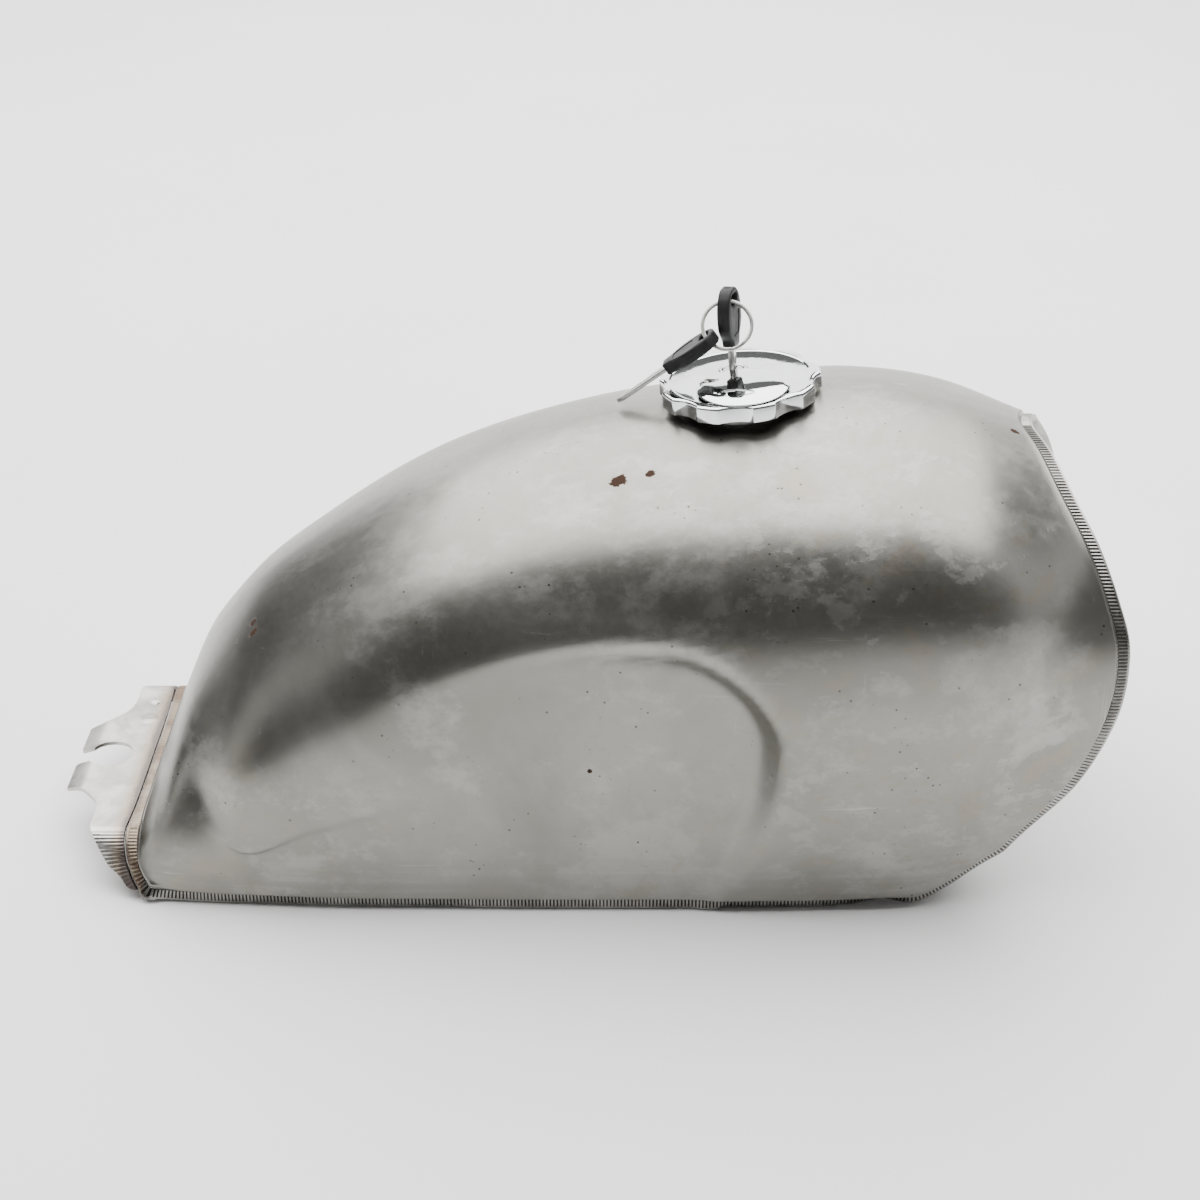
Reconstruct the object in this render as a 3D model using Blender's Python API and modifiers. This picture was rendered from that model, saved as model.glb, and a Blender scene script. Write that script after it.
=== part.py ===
"""Motorcycle fuel tank in bare steel with a locking bayonet filler cap and two keys.

The tank is an outer skin in two pressed halves, closed underneath by one pressed
pan that carries the frame tunnel.  Skin and pan meet in an upright roller-welded
seam.  Lengths below are millimetres; +X is forward, +Y is the left of the bike.
"""
import math

import bmesh
import bpy
import numpy as np
from mathutils import Matrix, Vector

MM = 0.001

# ---- skin of the tank ----
SHIFT_X = 13.8            # brings the middle of the bounding box to X = 0
SHEET = 1.2                # steel sheet thickness
JOINT_GAP = 0.15           # half of the weld gap between the two skin halves
GRID_LONG = 26             # faces along the skin
GRID_ROUND = 11            # faces from crown to seam
SEAM_Z = 8.7               # height at which the side starts to curl into the seam
CURL_IN = 2.6              # how far the side curls inwards
REAR_FLANGE_Z = 29.6       # the side curls in this low at the rear, under the bracket
CURL_OUT = 1.6
FLANGE = 6.5               # width of the seam flange
PAN_EXTRA = 0.6            # the pan flange stands this far beyond the skin flange
PAN_GAP = 0.35             # gap between the two flange sheets

REAR_EDGE = [(-234, 0, 38), (-234, 22, 38), (-234, 43, 37.6), (-234.5, 60, 36),
             (-235, 72, 32.5), (-235, 81, 27.5), (-234.5, 88, 21.5),
             (-232, 92.5, 16), (-228, 95.5, 11.5)]
TAIL_LOW = [(-222, 0, 69), (-222.5, 25, 67.5), (-223, 48, 63.5), (-223.5, 66, 57),
            (-224, 79, 48), (-224, 87.5, 38.5), (-223, 92.5, 28.5),
            (-220.5, 95.5, 18.5), (-216, 97, 9.6)]
TAIL_HIGH = [(-207, 0, 101), (-207.5, 27, 98), (-208.5, 51, 90.5), (-209, 70, 78),
             (-209, 83, 63), (-208.5, 91, 48), (-207, 96, 34), (-204.5, 98, 21),
             (-200, 98.5, 8.8)]
FRONT_EDGE = [(209, 0, 226), (214.5, 25, 221.5), (221.5, 48, 209.5), (232, 68, 191),
              (241, 83, 168), (247.5, 91.5, 142), (245, 95, 108), (229, 96.5, 70),
              (200, 97, 34)]
# crown x, crown z, widest half width, its height, bottom x, bottom half width,
# bottom z, forward bulge of the section
SECTIONS = [(-183, 131, 101.5, 42, -180, 100, SEAM_Z, 0),
            (-144, 163, 106, 60, -140, 102.5, SEAM_Z, 0),
            (-82, 202, 112, 84, -80, 105, SEAM_Z, 0),
            (-3, 228.5, 117.5, 106, -3, 106, SEAM_Z, 0),
            (70, 239, 122, 124, 60, 106, SEAM_Z, 2),
            (130, 243.3, 123, 134, 112, 105, SEAM_Z, 10),
            (178, 236, 114, 134, 163, 102, 10, 24)]
SECTION_POWER = 2.12       # 2 is an ellipse, more is boxier
UPPER_POINTS = 5
LOWER_POINTS = 4

# ---- knee dents ----
DENT_FLOOR = 104.5         # half width the dent is pressed down to
DENT_TOP = 160
DENT_TOP_X = 12
DENT_TOP_FALL = 0.0022
DENT_FRONT = 91
DENT_FRONT_Z = 95
DENT_FRONT_FALL = 0.0038
DENT_RADIUS = 45
DENT_WALL = 17
DENT_FADE = (-140, -45)

# ---- pan and frame tunnel ----
TUNNEL_X = [-222, -150, -60, 60, 195]
TUNNEL_ROOF = [22, 62, 92, 118, 150]
TUNNEL_HALF = 41
TUNNEL_MARKS = [0, 0.2, 0.34, 0.66, 0.76, 1]
PAN_REAR = -222
PAN_FRONT = 196

# ---- rear bracket ----
PLATE = 2.0
PLATE_GAP = 1.05
SLOT_OUT = 23              # slot centre beyond the flange
SLOT_RADIUS = 12.25
MOUTH_HALF = 6.7
BRACKET_SIDE = [(40.5, 30), (32, 34), (25.6, 40.6), (21.4, 46.7), (19.5, 54), (19, 62),
                (18.5, 70), (16, 76), (13, 83), (10, 90), (5, 97), (3.5, 102), (0, 105)]
BRACKET_FOLDS = [66, 71, 76, 80, 84, 88, 92, 96, 100]
TIP_BEND = 32
TIP_SLOPE = 0.35

# ---- filler neck and cap, in cap axes ----
CAP_AT = (69, 0, 249.6)    # middle of the cap's top face
CAP_LEAN = 5.5             # degrees the cap axis leans rearwards
CAP_RADIUS = 40.5
CAP_LOW = -8.5
FLUTES = 9
FLUTE_FIRST = -46          # degrees from straight right of the bike, towards the front
FLUTE_RADIUS = 9.5
FLUTE_DEPTH = 2.9
DECK_LOW = -2.8
RECESS_RADIUS = 32.5
BOSS_RADIUS = 19.2
BOSS_LOW = -12.2
NECK_OUT = 29
NECK_IN = 26.4
NECK_TOP = -8.4
NECK_LOW = -36
LIP_RADIUS = 20.5
LIP_THICK = 1.6
NOTCH_HALF = 6.2
NOTCH_RADIUS = 24.5
EAR_HALF = 5.4
EAR_RADIUS = 23.8
BAYONET_Z = (-14.0, -12.5)
SEAL_Z = (-6.2, -5.2)
GASKET_Z = (-8.1, -6.5)
SPRING_Z = -4.0
SPRING_RADIUS = 22.5
DISC_AT = (1, -16)
DISC_RADIUS = 23
PIVOT = (-17.5, -9.3)
LOCK_AT = (-2.5, 11)
LOCK_RADIUS = 7.0
ROTOR_RADIUS = 5.2
LOCK_LOW = -27
KEY_TURN = 20              # degrees the key's plane is turned from fore and aft

# ---- keys ----
HEAD_LOW = 12
HEAD_HIGH = 42.5
HEAD_HALF = 10.5
HEAD_THICK = 6.4
HOLE_AT = 36.6             # height of the ring hole above the cap face
BLADE_HALF = 3.6
BLADE_THICK = 2.0
BLADE_LOW = -18
RING_RADIUS = 12.1
RING_WIRE = 0.95
RING_LEAN = 36
RING_SIDE = -1.6
SPARE_ON_RING = 213        # degrees round the ring
SPARE_TIP = (-59, 3.6, -7.2)   # tip of the spare's blade, in cap axes
SPARE_TILT = -0.14
SPARE_SLIP = 0.9
TOOTH_DEPTHS = [1.4, 2.2, 0.9, 1.8, 1.2]

# ---- small parts ----
SCREW_PLACES = [(-9.5, -8), (9.5, -8)]
SCREW_SHANK = 1.6
BOLT_LOW = -25.2           # underside of the sliding lock bolt
KEEPER_RADII = (23.4, 26.0)
KEEPER_ANGLES = (25, 32)   # degrees from the front, past the bolt of a closed cap
CUP_AT = (150, 78)
CUP_RADIUS = 17
CUP_WALL = 2
CUP_REACH = 22
CUP_DEPTH = 13
SPIGOT_AT = (96, 32)
BOSS_AT = (-95, 74)


def clear_scene():
    for thing in list(bpy.data.objects):
        bpy.data.objects.remove(thing)


def new_collection(name):
    group = bpy.data.collections.new(name)
    bpy.context.scene.collection.children.link(group)
    return group


clear_scene()
PARTS = new_collection("fuel_tank")
CUTTERS = new_collection("cutters")


def make_material(name, colour, metallic, roughness):
    material = bpy.data.materials.new(name)
    material.use_nodes = True
    shader = material.node_tree.nodes["Principled BSDF"]
    shader.inputs["Base Color"].default_value = (*colour, 1)
    shader.inputs["Metallic"].default_value = metallic
    shader.inputs["Roughness"].default_value = roughness
    return material


def add_object(name, mesh, look=None, group=PARTS):
    thing = bpy.data.objects.new(name, mesh)
    group.objects.link(thing)
    if look:
        mesh.materials.clear()
        mesh.materials.append(make_material(name, *look))
    return thing


def mesh_from(name, points, faces):
    mesh = bpy.data.meshes.new(name)
    mesh.from_pydata([tuple(np.asarray(point) * MM) for point in points], [], faces)
    mesh.validate()
    return mesh


def cap_frame(x=0, y=0, z=0):
    """Matrix of a frame standing at a point given in cap axes."""
    at = Vector((CAP_AT[0] + SHIFT_X, CAP_AT[1], CAP_AT[2])) * MM
    lean = Matrix.Rotation(math.radians(-CAP_LEAN), 4, "Y")
    return Matrix.Translation(at) @ lean @ Matrix.Translation(Vector((x, y, z)) * MM)


STEEL = ((0.62, 0.60, 0.56), 1.0, 0.42)
PAN_STEEL = ((0.50, 0.49, 0.46), 1.0, 0.5)
CHROME = ((0.80, 0.81, 0.82), 1.0, 0.08)
ZINC = ((0.66, 0.66, 0.62), 1.0, 0.35)
RUBBER = ((0.02, 0.02, 0.02), 0.0, 0.75)
BRASS = ((0.72, 0.55, 0.26), 1.0, 0.3)
PLASTIC = ((0.015, 0.015, 0.017), 0.0, 0.45)


# ---- surfaces ----
def spline(knots, values, at):
    """Smooth curve through values at knots, read at the given places."""
    knots = np.asarray(knots, float)
    values = np.asarray(values, float)
    at = np.asarray(at, float)
    slopes = np.gradient(values, knots, axis=0)
    index = np.clip(np.searchsorted(knots, at, side="right") - 1, 0, len(knots) - 2)
    shape = (len(at),) + (1,) * (values.ndim - 1)
    width = (knots[index + 1] - knots[index]).reshape(shape)
    part = ((at - knots[index]).reshape(shape)) / width
    start = (2 * part**3 - 3 * part**2 + 1) * values[index]
    start_slope = (part**3 - 2 * part**2 + part) * slopes[index] * width
    end = (3 * part**2 - 2 * part**3) * values[index + 1]
    end_slope = (part**3 - part**2) * slopes[index + 1] * width
    return start + start_slope + end + end_slope


def smooth(value):
    value = np.clip(value, 0, 1)
    return value * value * (3 - 2 * value)


def section_points(crown_x, crown_z, half, wide_z, low_x, low_half, low_z, bulge):
    """Nine points from the crown to the seam."""
    points = []
    for angle in np.linspace(0, math.pi / 2, UPPER_POINTS):
        y = half * math.sin(angle) ** (2 / SECTION_POWER)
        z = wide_z + (crown_z - wide_z) * max(math.cos(angle), 0) ** (2 / SECTION_POWER)
        points.append((y, z))
    for step in range(1, LOWER_POINTS + 1):
        part = step / LOWER_POINTS
        y = half - (half - low_half) * part**1.8
        points.append((y, wide_z + (low_z - wide_z) * part))
    placed = []
    for y, z in points:
        drop = (crown_z - z) / (crown_z - low_z)
        x = crown_x + (low_x - crown_x) * drop**2 + bulge * math.sin(math.pi * drop)
        placed.append((x, y, z))
    return placed


def skin_net():
    rows = [REAR_EDGE, TAIL_LOW, TAIL_HIGH]
    rows += [section_points(*section) for section in SECTIONS]
    rows.append(FRONT_EDGE)
    return np.array(rows, float)


def dent_depth(points):
    """How far a knee presses the side in, for points on the left side."""
    x, y, z = points[..., 0], points[..., 1], points[..., 2]
    top = DENT_TOP - DENT_TOP_FALL * (x - DENT_TOP_X) ** 2
    front = DENT_FRONT - DENT_FRONT_FALL * (z - DENT_FRONT_Z) ** 2
    across = x - front + DENT_RADIUS
    above = z - top + DENT_RADIUS
    corner = np.hypot(np.maximum(across, 0), np.maximum(above, 0))
    inside = DENT_RADIUS - corner - np.minimum(np.maximum(across, above), 0)
    fade = smooth((x - DENT_FADE[0]) / (DENT_FADE[1] - DENT_FADE[0]))
    pressed = smooth(inside / DENT_WALL) * fade
    return pressed * np.maximum(y - DENT_FLOOR, 0)


def skin_grid(long, round_about):
    """Points of the left skin, rows along the tank, columns from crown to seam."""
    net = skin_net()
    mirrored = net[:, :0:-1] * np.array([1, -1, 1])
    whole = np.concatenate([mirrored, net], axis=1)
    steps = np.linalg.norm(np.diff(net[:, 0], axis=0), axis=1)
    knots = np.concatenate([[0], np.cumsum(steps)]) / steps.sum()
    marks = np.linspace(-1, 1, whole.shape[1])
    rows = spline(knots, whole, np.linspace(0, 1, long + 1))
    across = spline(marks, rows.transpose(1, 0, 2), np.linspace(0, 1, round_about + 1))
    grid = across.transpose(1, 0, 2)
    grid[..., 1] -= dent_depth(grid)
    grid[:, -1, 2] = np.maximum(grid[:, -1, 2], SEAM_Z)
    return grid


def grid_normals(grid):
    along = np.gradient(grid, axis=0)
    across = np.gradient(grid, axis=1)
    across[:, 0] = (0, 1, 0)
    normals = np.cross(along, across)
    return normals / np.linalg.norm(normals, axis=-1, keepdims=True)


def unit(vectors):
    return vectors / np.linalg.norm(vectors, axis=-1, keepdims=True)


def border(grid):
    """The border of a half grid: rear edge, seam, front edge."""
    return np.concatenate([grid[0], grid[1:-1, -1], grid[-1, ::-1]])


def seam_frames(grid):
    """Border points with the outward and the inward direction of the seam there."""
    edge = border(grid)
    normals = border(grid_normals(grid))
    count = grid.shape[1]
    tangents = np.gradient(edge, axis=0)
    out = unit(np.cross(normals, tangents))
    rear = np.zeros(len(edge))
    front = np.zeros(len(edge))
    rear[:count] = smooth((1 - np.linspace(0, 1, count)) / 0.45)
    front[-count:] = rear[:count][::-1]
    out = out * (1 - rear - front)[:, None]
    out[:, 0] += front - rear
    out = unit(out)
    inward = unit(np.sum(normals * out, axis=1)[:, None] * out - normals)
    curl = np.full(len(edge), CURL_IN)
    curl[:count] = np.clip(edge[:count, 2] - REAR_FLANGE_Z, CURL_IN, None)
    return edge, out, inward, curl[:, None]


def grid_faces(rows, columns, at):
    faces = []
    for row in range(rows - 1):
        for column in range(columns - 1):
            faces.append((at(row, column), at(row, column + 1),
                          at(row + 1, column + 1), at(row + 1, column)))
    return faces


def border_order(rows, columns):
    order = [(0, column) for column in range(columns)]
    order += [(row, columns - 1) for row in range(1, rows - 1)]
    return order + [(rows - 1, column) for column in range(columns - 1, -1, -1)]


def fringed(grid, fringes):
    """Points and faces of a grid with strips sewn round its border."""
    rows, columns = grid.shape[:2]
    points = list(grid.reshape(-1, 3))
    faces = grid_faces(rows, columns, lambda row, column: row * columns + column)
    inner = [row * columns + column for row, column in border_order(rows, columns)]
    for fringe in fringes:
        outer = list(range(len(points), len(points) + len(inner)))
        points += list(fringe)
        for step in range(len(inner) - 1):
            faces.append((inner[step], outer[step], outer[step + 1], inner[step + 1]))
        inner = outer
    return np.array(points), faces


def solidify(thing, thickness):
    """Gives a sheet its thickness, away from the side its faces point to."""
    sheet = thing.modifiers.new("sheet", "SOLIDIFY")
    sheet.thickness = thickness * MM
    sheet.offset = -1
    sheet.use_even_offset = True
    return thing


def apply_modifiers(thing):
    graph = bpy.context.evaluated_depsgraph_get()
    mesh = bpy.data.meshes.new_from_object(thing.evaluated_get(graph))
    thing.modifiers.clear()
    thing.data = mesh
    return thing


def cut(thing, cutter, operation="DIFFERENCE"):
    boolean = thing.modifiers.new("cut", "BOOLEAN")
    boolean.operation = operation
    boolean.solver = "EXACT"
    boolean.object = cutter
    cutter.hide_render = True
    cutter.display_type = "WIRE"
    return thing


# ---- simple solids ----
def drum(name, radius, low, high, place, look=None, group=PARTS, sides=32):
    mesh = bpy.data.meshes.new(name)
    shape = bmesh.new()
    middle = Matrix.Translation((0, 0, (low + high) / 2 * MM))
    bmesh.ops.create_cone(shape, cap_ends=True, segments=sides, radius1=radius * MM,
                          radius2=radius * MM, depth=(high - low) * MM, matrix=middle)
    shape.to_mesh(mesh)
    shape.free()
    thing = add_object(name, mesh, look, group)
    thing.matrix_world = place
    return thing


def lathe(name, profile, place, look=None, group=PARTS, steps=40):
    """Ring or turned solid from a profile of radius and height, top to bottom."""
    points = []
    for radius, height in profile:
        points.append((radius, 0, height))
    closed = profile[0][0] > 0
    edges = [(step, step + 1) for step in range(len(points) - 1)]
    if closed:
        edges.append((len(points) - 1, 0))
    mesh = bpy.data.meshes.new(name)
    mesh.from_pydata([tuple(np.array(point) * MM) for point in points], edges, [])
    thing = add_object(name, mesh, look, group)
    screw = thing.modifiers.new("turn", "SCREW")
    screw.steps = steps
    screw.render_steps = steps
    screw.use_merge_vertices = True
    screw.merge_threshold = 0.00001
    screw.use_normal_calculate = True
    thing.matrix_world = place
    apply_modifiers(thing)
    face_out(thing.data)
    return thing


def face_out(mesh):
    shape = bmesh.new()
    shape.from_mesh(mesh)
    bmesh.ops.remove_doubles(shape, verts=shape.verts, dist=0.000005)
    bmesh.ops.recalc_face_normals(shape, faces=shape.faces)
    if shape.calc_volume(signed=True) < 0:
        bmesh.ops.reverse_faces(shape, faces=shape.faces)
    shape.to_mesh(mesh)
    shape.free()


def prism(name, outlines, low, high, place, look=None, group=PARTS):
    """Flat outlines, the first the outside and the rest holes, raised to a solid."""
    mesh = bpy.data.meshes.new(name)
    curve = bpy.data.curves.new(name, "CURVE")
    curve.dimensions = "2D"
    curve.fill_mode = "BOTH"
    curve.extrude = (high - low) / 2 * MM
    for outline in outlines:
        line = curve.splines.new("POLY")
        line.points.add(len(outline) - 1)
        for point, (x, y) in zip(line.points, outline):
            point.co = (x * MM, y * MM, 0, 1)
        line.use_cyclic_u = True
    maker = bpy.data.objects.new(name, curve)
    CUTTERS.objects.link(maker)
    graph = bpy.context.evaluated_depsgraph_get()
    mesh = bpy.data.meshes.new_from_object(maker.evaluated_get(graph))
    bpy.data.objects.remove(maker)
    mesh.transform(Matrix.Translation((0, 0, (low + high) / 2 * MM)))
    face_out(mesh)
    thing = add_object(name, mesh, look, group)
    thing.matrix_world = place
    return thing


def wire(name, points, radius, place, look, closed, sides=4):
    """Round wire along points."""
    curve = bpy.data.curves.new(name, "CURVE")
    curve.dimensions = "3D"
    curve.bevel_depth = radius * MM
    curve.bevel_resolution = sides
    curve.use_fill_caps = not closed
    line = curve.splines.new("POLY")
    line.points.add(len(points) - 1)
    for point, at in zip(line.points, points):
        point.co = (*(np.array(at) * MM), 1)
    line.use_cyclic_u = closed
    maker = bpy.data.objects.new(name, curve)
    CUTTERS.objects.link(maker)
    graph = bpy.context.evaluated_depsgraph_get()
    mesh = bpy.data.meshes.new_from_object(maker.evaluated_get(graph))
    bpy.data.objects.remove(maker)
    face_out(mesh)
    thing = add_object(name, mesh, look)
    thing.matrix_world = place
    return thing


def arc(middle_x, middle_y, radius, first, last, count):
    points = []
    for angle in np.linspace(math.radians(first), math.radians(last), count):
        points.append((middle_x + radius * math.cos(angle),
                       middle_y + radius * math.sin(angle)))
    return points


WORLD = Matrix.Translation((SHIFT_X * MM, 0, 0))


# ---- skin and pan ----
def make_skin(name, side):
    grid = skin_grid(GRID_LONG, GRID_ROUND)
    edge, out, inward, curl = seam_frames(grid)
    fold = edge + out * CURL_OUT * 0.5 + inward * curl * 0.3
    root = edge + out * CURL_OUT + inward * curl
    lip = root + out * FLANGE
    points, faces = fringed(grid, [fold, root, lip])
    points[:, 1] = np.maximum(points[:, 1], JOINT_GAP) * side
    points[:, 2] = np.maximum(points[:, 2], PAN_EXTRA)
    faces = [face if side > 0 else face[::-1] for face in faces]
    thing = add_object(name, mesh_from(name, points, faces), STEEL)
    thing.matrix_world = WORLD
    solidify(thing, SHEET)
    apply_modifiers(thing)
    return thing


def tunnel_row(x, foot):
    """Section of the pan from the middle of the tunnel roof to the seam."""
    roof = np.interp(x, TUNNEL_X, TUNNEL_ROOF)
    low = foot[2]
    shoulder = max(roof - 13, low + (roof - low) * 0.4)
    marks = [(x, 0, roof), (x, TUNNEL_HALF * 0.6, roof), (x, TUNNEL_HALF - 4, shoulder),
             (x, TUNNEL_HALF, low + (roof - low) * 0.12), (x, TUNNEL_HALF + 7, low),
             tuple(foot)]
    return np.array(marks, float)


def make_pan():
    grid = skin_grid(GRID_LONG, GRID_ROUND)
    edge, out, inward, curl = seam_frames(grid)
    drop = inward * (SHEET + PAN_GAP)
    root = edge + out * CURL_OUT + inward * curl + drop
    lip = root + out * (FLANGE + PAN_EXTRA)
    inner = root - out * 1.5 + inward * 2.6
    rows, columns = grid.shape[:2]
    pan = np.zeros_like(grid)
    for place, (row, column) in enumerate(border_order(rows, columns)):
        pan[row, column] = inner[place]
    across = np.linspace(0, 1, columns)
    for row in range(1, rows - 1):
        foot = pan[row, -1]
        part = (row - 1) / (rows - 3)
        x = PAN_REAR + (PAN_FRONT - PAN_REAR) * part
        marks = tunnel_row(x, foot)
        marks[-1, 1] = foot[1]
        line = []
        for axis in range(3):
            line.append(np.interp(across, TUNNEL_MARKS, marks[:, axis]))
        pan[row] = np.stack(line, axis=1)
    points, faces = fringed(pan, [root, lip])
    points[:rows * columns].reshape(rows, columns, 3)[:, 0, 1] = 0
    points[:, 2] = np.maximum(points[:, 2], 0)
    flipped = [face[::-1] for face in faces]
    count = len(points)
    mirrored = points * np.array([1, -1, 1])
    both = np.concatenate([points, mirrored])
    all_faces = faces + [tuple(index + count for index in face) for face in flipped]
    thing = add_object("tunnel_pan", mesh_from("tunnel_pan", both, all_faces), PAN_STEEL)
    thing.matrix_world = WORLD
    shape = bmesh.new()
    shape.from_mesh(thing.data)
    middle = [vert for vert in shape.verts if abs(vert.co.y) < 0.0002]
    for vert in middle:
        vert.co.y = 0
    bmesh.ops.remove_doubles(shape, verts=middle, dist=0.00002)
    shape.to_mesh(thing.data)
    shape.free()
    solidify(thing, SHEET)
    apply_modifiers(thing)
    return thing


# ---- rear bracket ----
def bracket_outline():
    turn = math.degrees(math.asin(MOUTH_HALF / SLOT_RADIUS))
    slot = arc(SLOT_OUT, 0, SLOT_RADIUS, turn, 360 - turn, 25)
    lower = [(out, -along) for out, along in reversed(BRACKET_SIDE)]
    tip = BRACKET_SIDE[0][0]
    return BRACKET_SIDE + lower + [(tip, -MOUTH_HALF)] + slot[::-1] + [(tip, MOUTH_HALF)]


def make_bracket():
    grid = skin_grid(GRID_LONG, GRID_ROUND)
    edge, out, inward, curl = seam_frames(grid)
    lip = edge + out * (CURL_OUT + FLANGE) + inward * curl
    lengths = np.concatenate([[0], np.cumsum(np.linalg.norm(np.diff(lip, axis=0), axis=1))])
    thing = prism("rear_mount_bracket", [bracket_outline()], 0, PLATE, Matrix(), ZINC)
    shape = bmesh.new()
    shape.from_mesh(thing.data)
    cuts = [((0, side * fold, 0), (0, 1, 0)) for fold in BRACKET_FOLDS for side in (-1, 1)]
    cuts.append(((TIP_BEND, 0, 0), (1, 0, 0)))
    for at, normal in cuts:
        pieces = shape.verts[:] + shape.edges[:] + shape.faces[:]
        bmesh.ops.bisect_plane(shape, geom=pieces, dist=0.000001,
                               plane_co=Vector(at) * MM, plane_no=normal)
    bmesh.ops.triangulate(shape, faces=shape.faces)
    for vert in shape.verts:
        away, along, height = vert.co / MM
        step = abs(along)
        frame = []
        for values in (lip, out, inward):
            frame.append(np.array([np.interp(step, lengths, values[:, axis])
                                   for axis in range(3)]))
        depth = PLATE - height + max(away - TIP_BEND, 0) * TIP_SLOPE
        spot = frame[0] + frame[1] * (away + PLATE_GAP) + frame[2] * depth
        spot[1] *= 1 if along >= 0 else -1
        vert.co = Vector(spot) * MM
    shape.to_mesh(thing.data)
    shape.free()
    face_out(thing.data)
    thing.matrix_world = WORLD
    return thing



# ---- filler neck ----
def radial_box(name, half, reach, low, high, place, turn):
    """Bar through the axis, reaching the same distance both ways."""
    outline = [(-reach, -half), (reach, -half), (reach, half), (-reach, half)]
    return prism(name, [outline], low, high, place @ Matrix.Rotation(turn, 4, "Z"),
                 group=CUTTERS)


def make_neck():
    lip_low = NECK_TOP - LIP_THICK
    profile = [(LIP_RADIUS, NECK_TOP), (NECK_OUT, NECK_TOP), (NECK_OUT, NECK_LOW),
               (NECK_IN, NECK_LOW), (NECK_IN, lip_low), (LIP_RADIUS, lip_low)]
    neck = lathe("filler_neck", profile, cap_frame(), ZINC)
    notch = radial_box("notch_cutter", NOTCH_HALF, NOTCH_RADIUS, lip_low - 1,
                       NECK_TOP + 1, cap_frame(), 0)
    cut(neck, notch)
    inner, outer = KEEPER_RADII
    start, end = KEEPER_ANGLES
    block = arc(0, 0, outer, start, end, 4) + arc(0, 0, inner, end, start, 4)
    prism("bolt_keeper", [block], BOLT_LOW, BOLT_LOW + 3.6, cap_frame(), ZINC)
    return neck


def make_bayonet():
    """Disc with two ears that pass the notches of the neck and turn under its lip."""
    low, high = BAYONET_Z
    reach = math.sqrt(EAR_RADIUS**2 - EAR_HALF**2)
    turn = math.degrees(math.asin(EAR_HALF / EAR_RADIUS))
    inner = math.degrees(math.asin(EAR_HALF / BOSS_RADIUS))
    outline = arc(0, 0, EAR_RADIUS, -turn, turn, 5)
    outline += arc(0, 0, BOSS_RADIUS, inner, 180 - inner, 17)
    outline += arc(0, 0, EAR_RADIUS, 180 - turn, 180 + turn, 5)
    outline += arc(0, 0, BOSS_RADIUS, 180 + inner, 360 - inner, 17)
    holes = [arc(*LOCK_AT, LOCK_RADIUS + 0.4, 0, 348, 30)]
    for x, y in SCREW_PLACES:
        holes.append(arc(x, y, SCREW_SHANK + 0.4, 0, 330, 12))
    return prism("bayonet_plate", [outline] + holes, low, high, cap_frame(), ZINC)


def scalloped(radius, depth, flute, count):
    """Round outline with hollow flutes."""
    outline = []
    for angle in np.linspace(0, 360, count, endpoint=False):
        offset = (angle - FLUTE_FIRST + 90) % (360 / FLUTES)
        offset = min(offset, 360 / FLUTES - offset)
        across = math.radians(offset) * radius
        hollow = depth * (1 - smooth(across / flute))
        reach = radius - hollow
        outline.append((reach * math.cos(math.radians(angle)),
                        reach * math.sin(math.radians(angle))))
    return outline


def make_cap():
    cap = prism("cap_body", [scalloped(CAP_RADIUS, FLUTE_DEPTH, FLUTE_RADIUS, 81)],
                CAP_LOW, 0, cap_frame(), CHROME)
    edge = cap.modifiers.new("edge", "BEVEL")
    edge.width = 1.1 * MM
    edge.segments = 2
    edge.limit_method = "ANGLE"
    edge.angle_limit = math.radians(60)
    apply_modifiers(cap)
    recess = drum("recess_cutter", RECESS_RADIUS, CAP_LOW - 2, DECK_LOW, cap_frame(),
                  group=CUTTERS, sides=48)
    boss = drum("boss_keeper", BOSS_RADIUS, BOSS_LOW, DECK_LOW + 1, cap_frame(),
                group=CUTTERS, sides=40)
    cut(cap, recess)
    cut(cap, boss, "UNION")
    cut(cap, drum("lock_cutter", LOCK_RADIUS + 0.35, BOSS_LOW - 2, 2,
                  cap_frame(*LOCK_AT), group=CUTTERS))
    cut(cap, drum("rivet_cutter", 1.9, -2.0, 2, cap_frame(*PIVOT), group=CUTTERS, sides=16))
    for number, (x, y) in enumerate(SCREW_PLACES):
        cut(cap, drum(f"screw_cutter_{number}", SCREW_SHANK + 0.35, BOSS_LOW - 1, -5,
                      cap_frame(x, y), group=CUTTERS, sides=16))
    return cap


def make_seal():
    hole = BOSS_RADIUS + 0.7
    low, high = SEAL_Z
    seal = [(hole, high), (NECK_OUT - 0.5, high), (NECK_OUT - 0.5, low), (hole, low)]
    lathe("seal_plate", seal, cap_frame(), ZINC)
    low, high = GASKET_Z
    gasket = [(hole + 1.6, high), (NECK_OUT, high), (NECK_OUT, low), (hole + 1.6, low)]
    lathe("cap_gasket", gasket, cap_frame(), RUBBER)
    wave = []
    for angle in np.linspace(0, 2 * math.pi, 36, endpoint=False):
        wave.append((SPRING_RADIUS * math.cos(angle), SPRING_RADIUS * math.sin(angle),
                     SPRING_Z + 0.32 * math.sin(3 * angle)))
    wire("wave_spring", wave, 0.45, cap_frame(), ZINC, True, 1)


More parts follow.
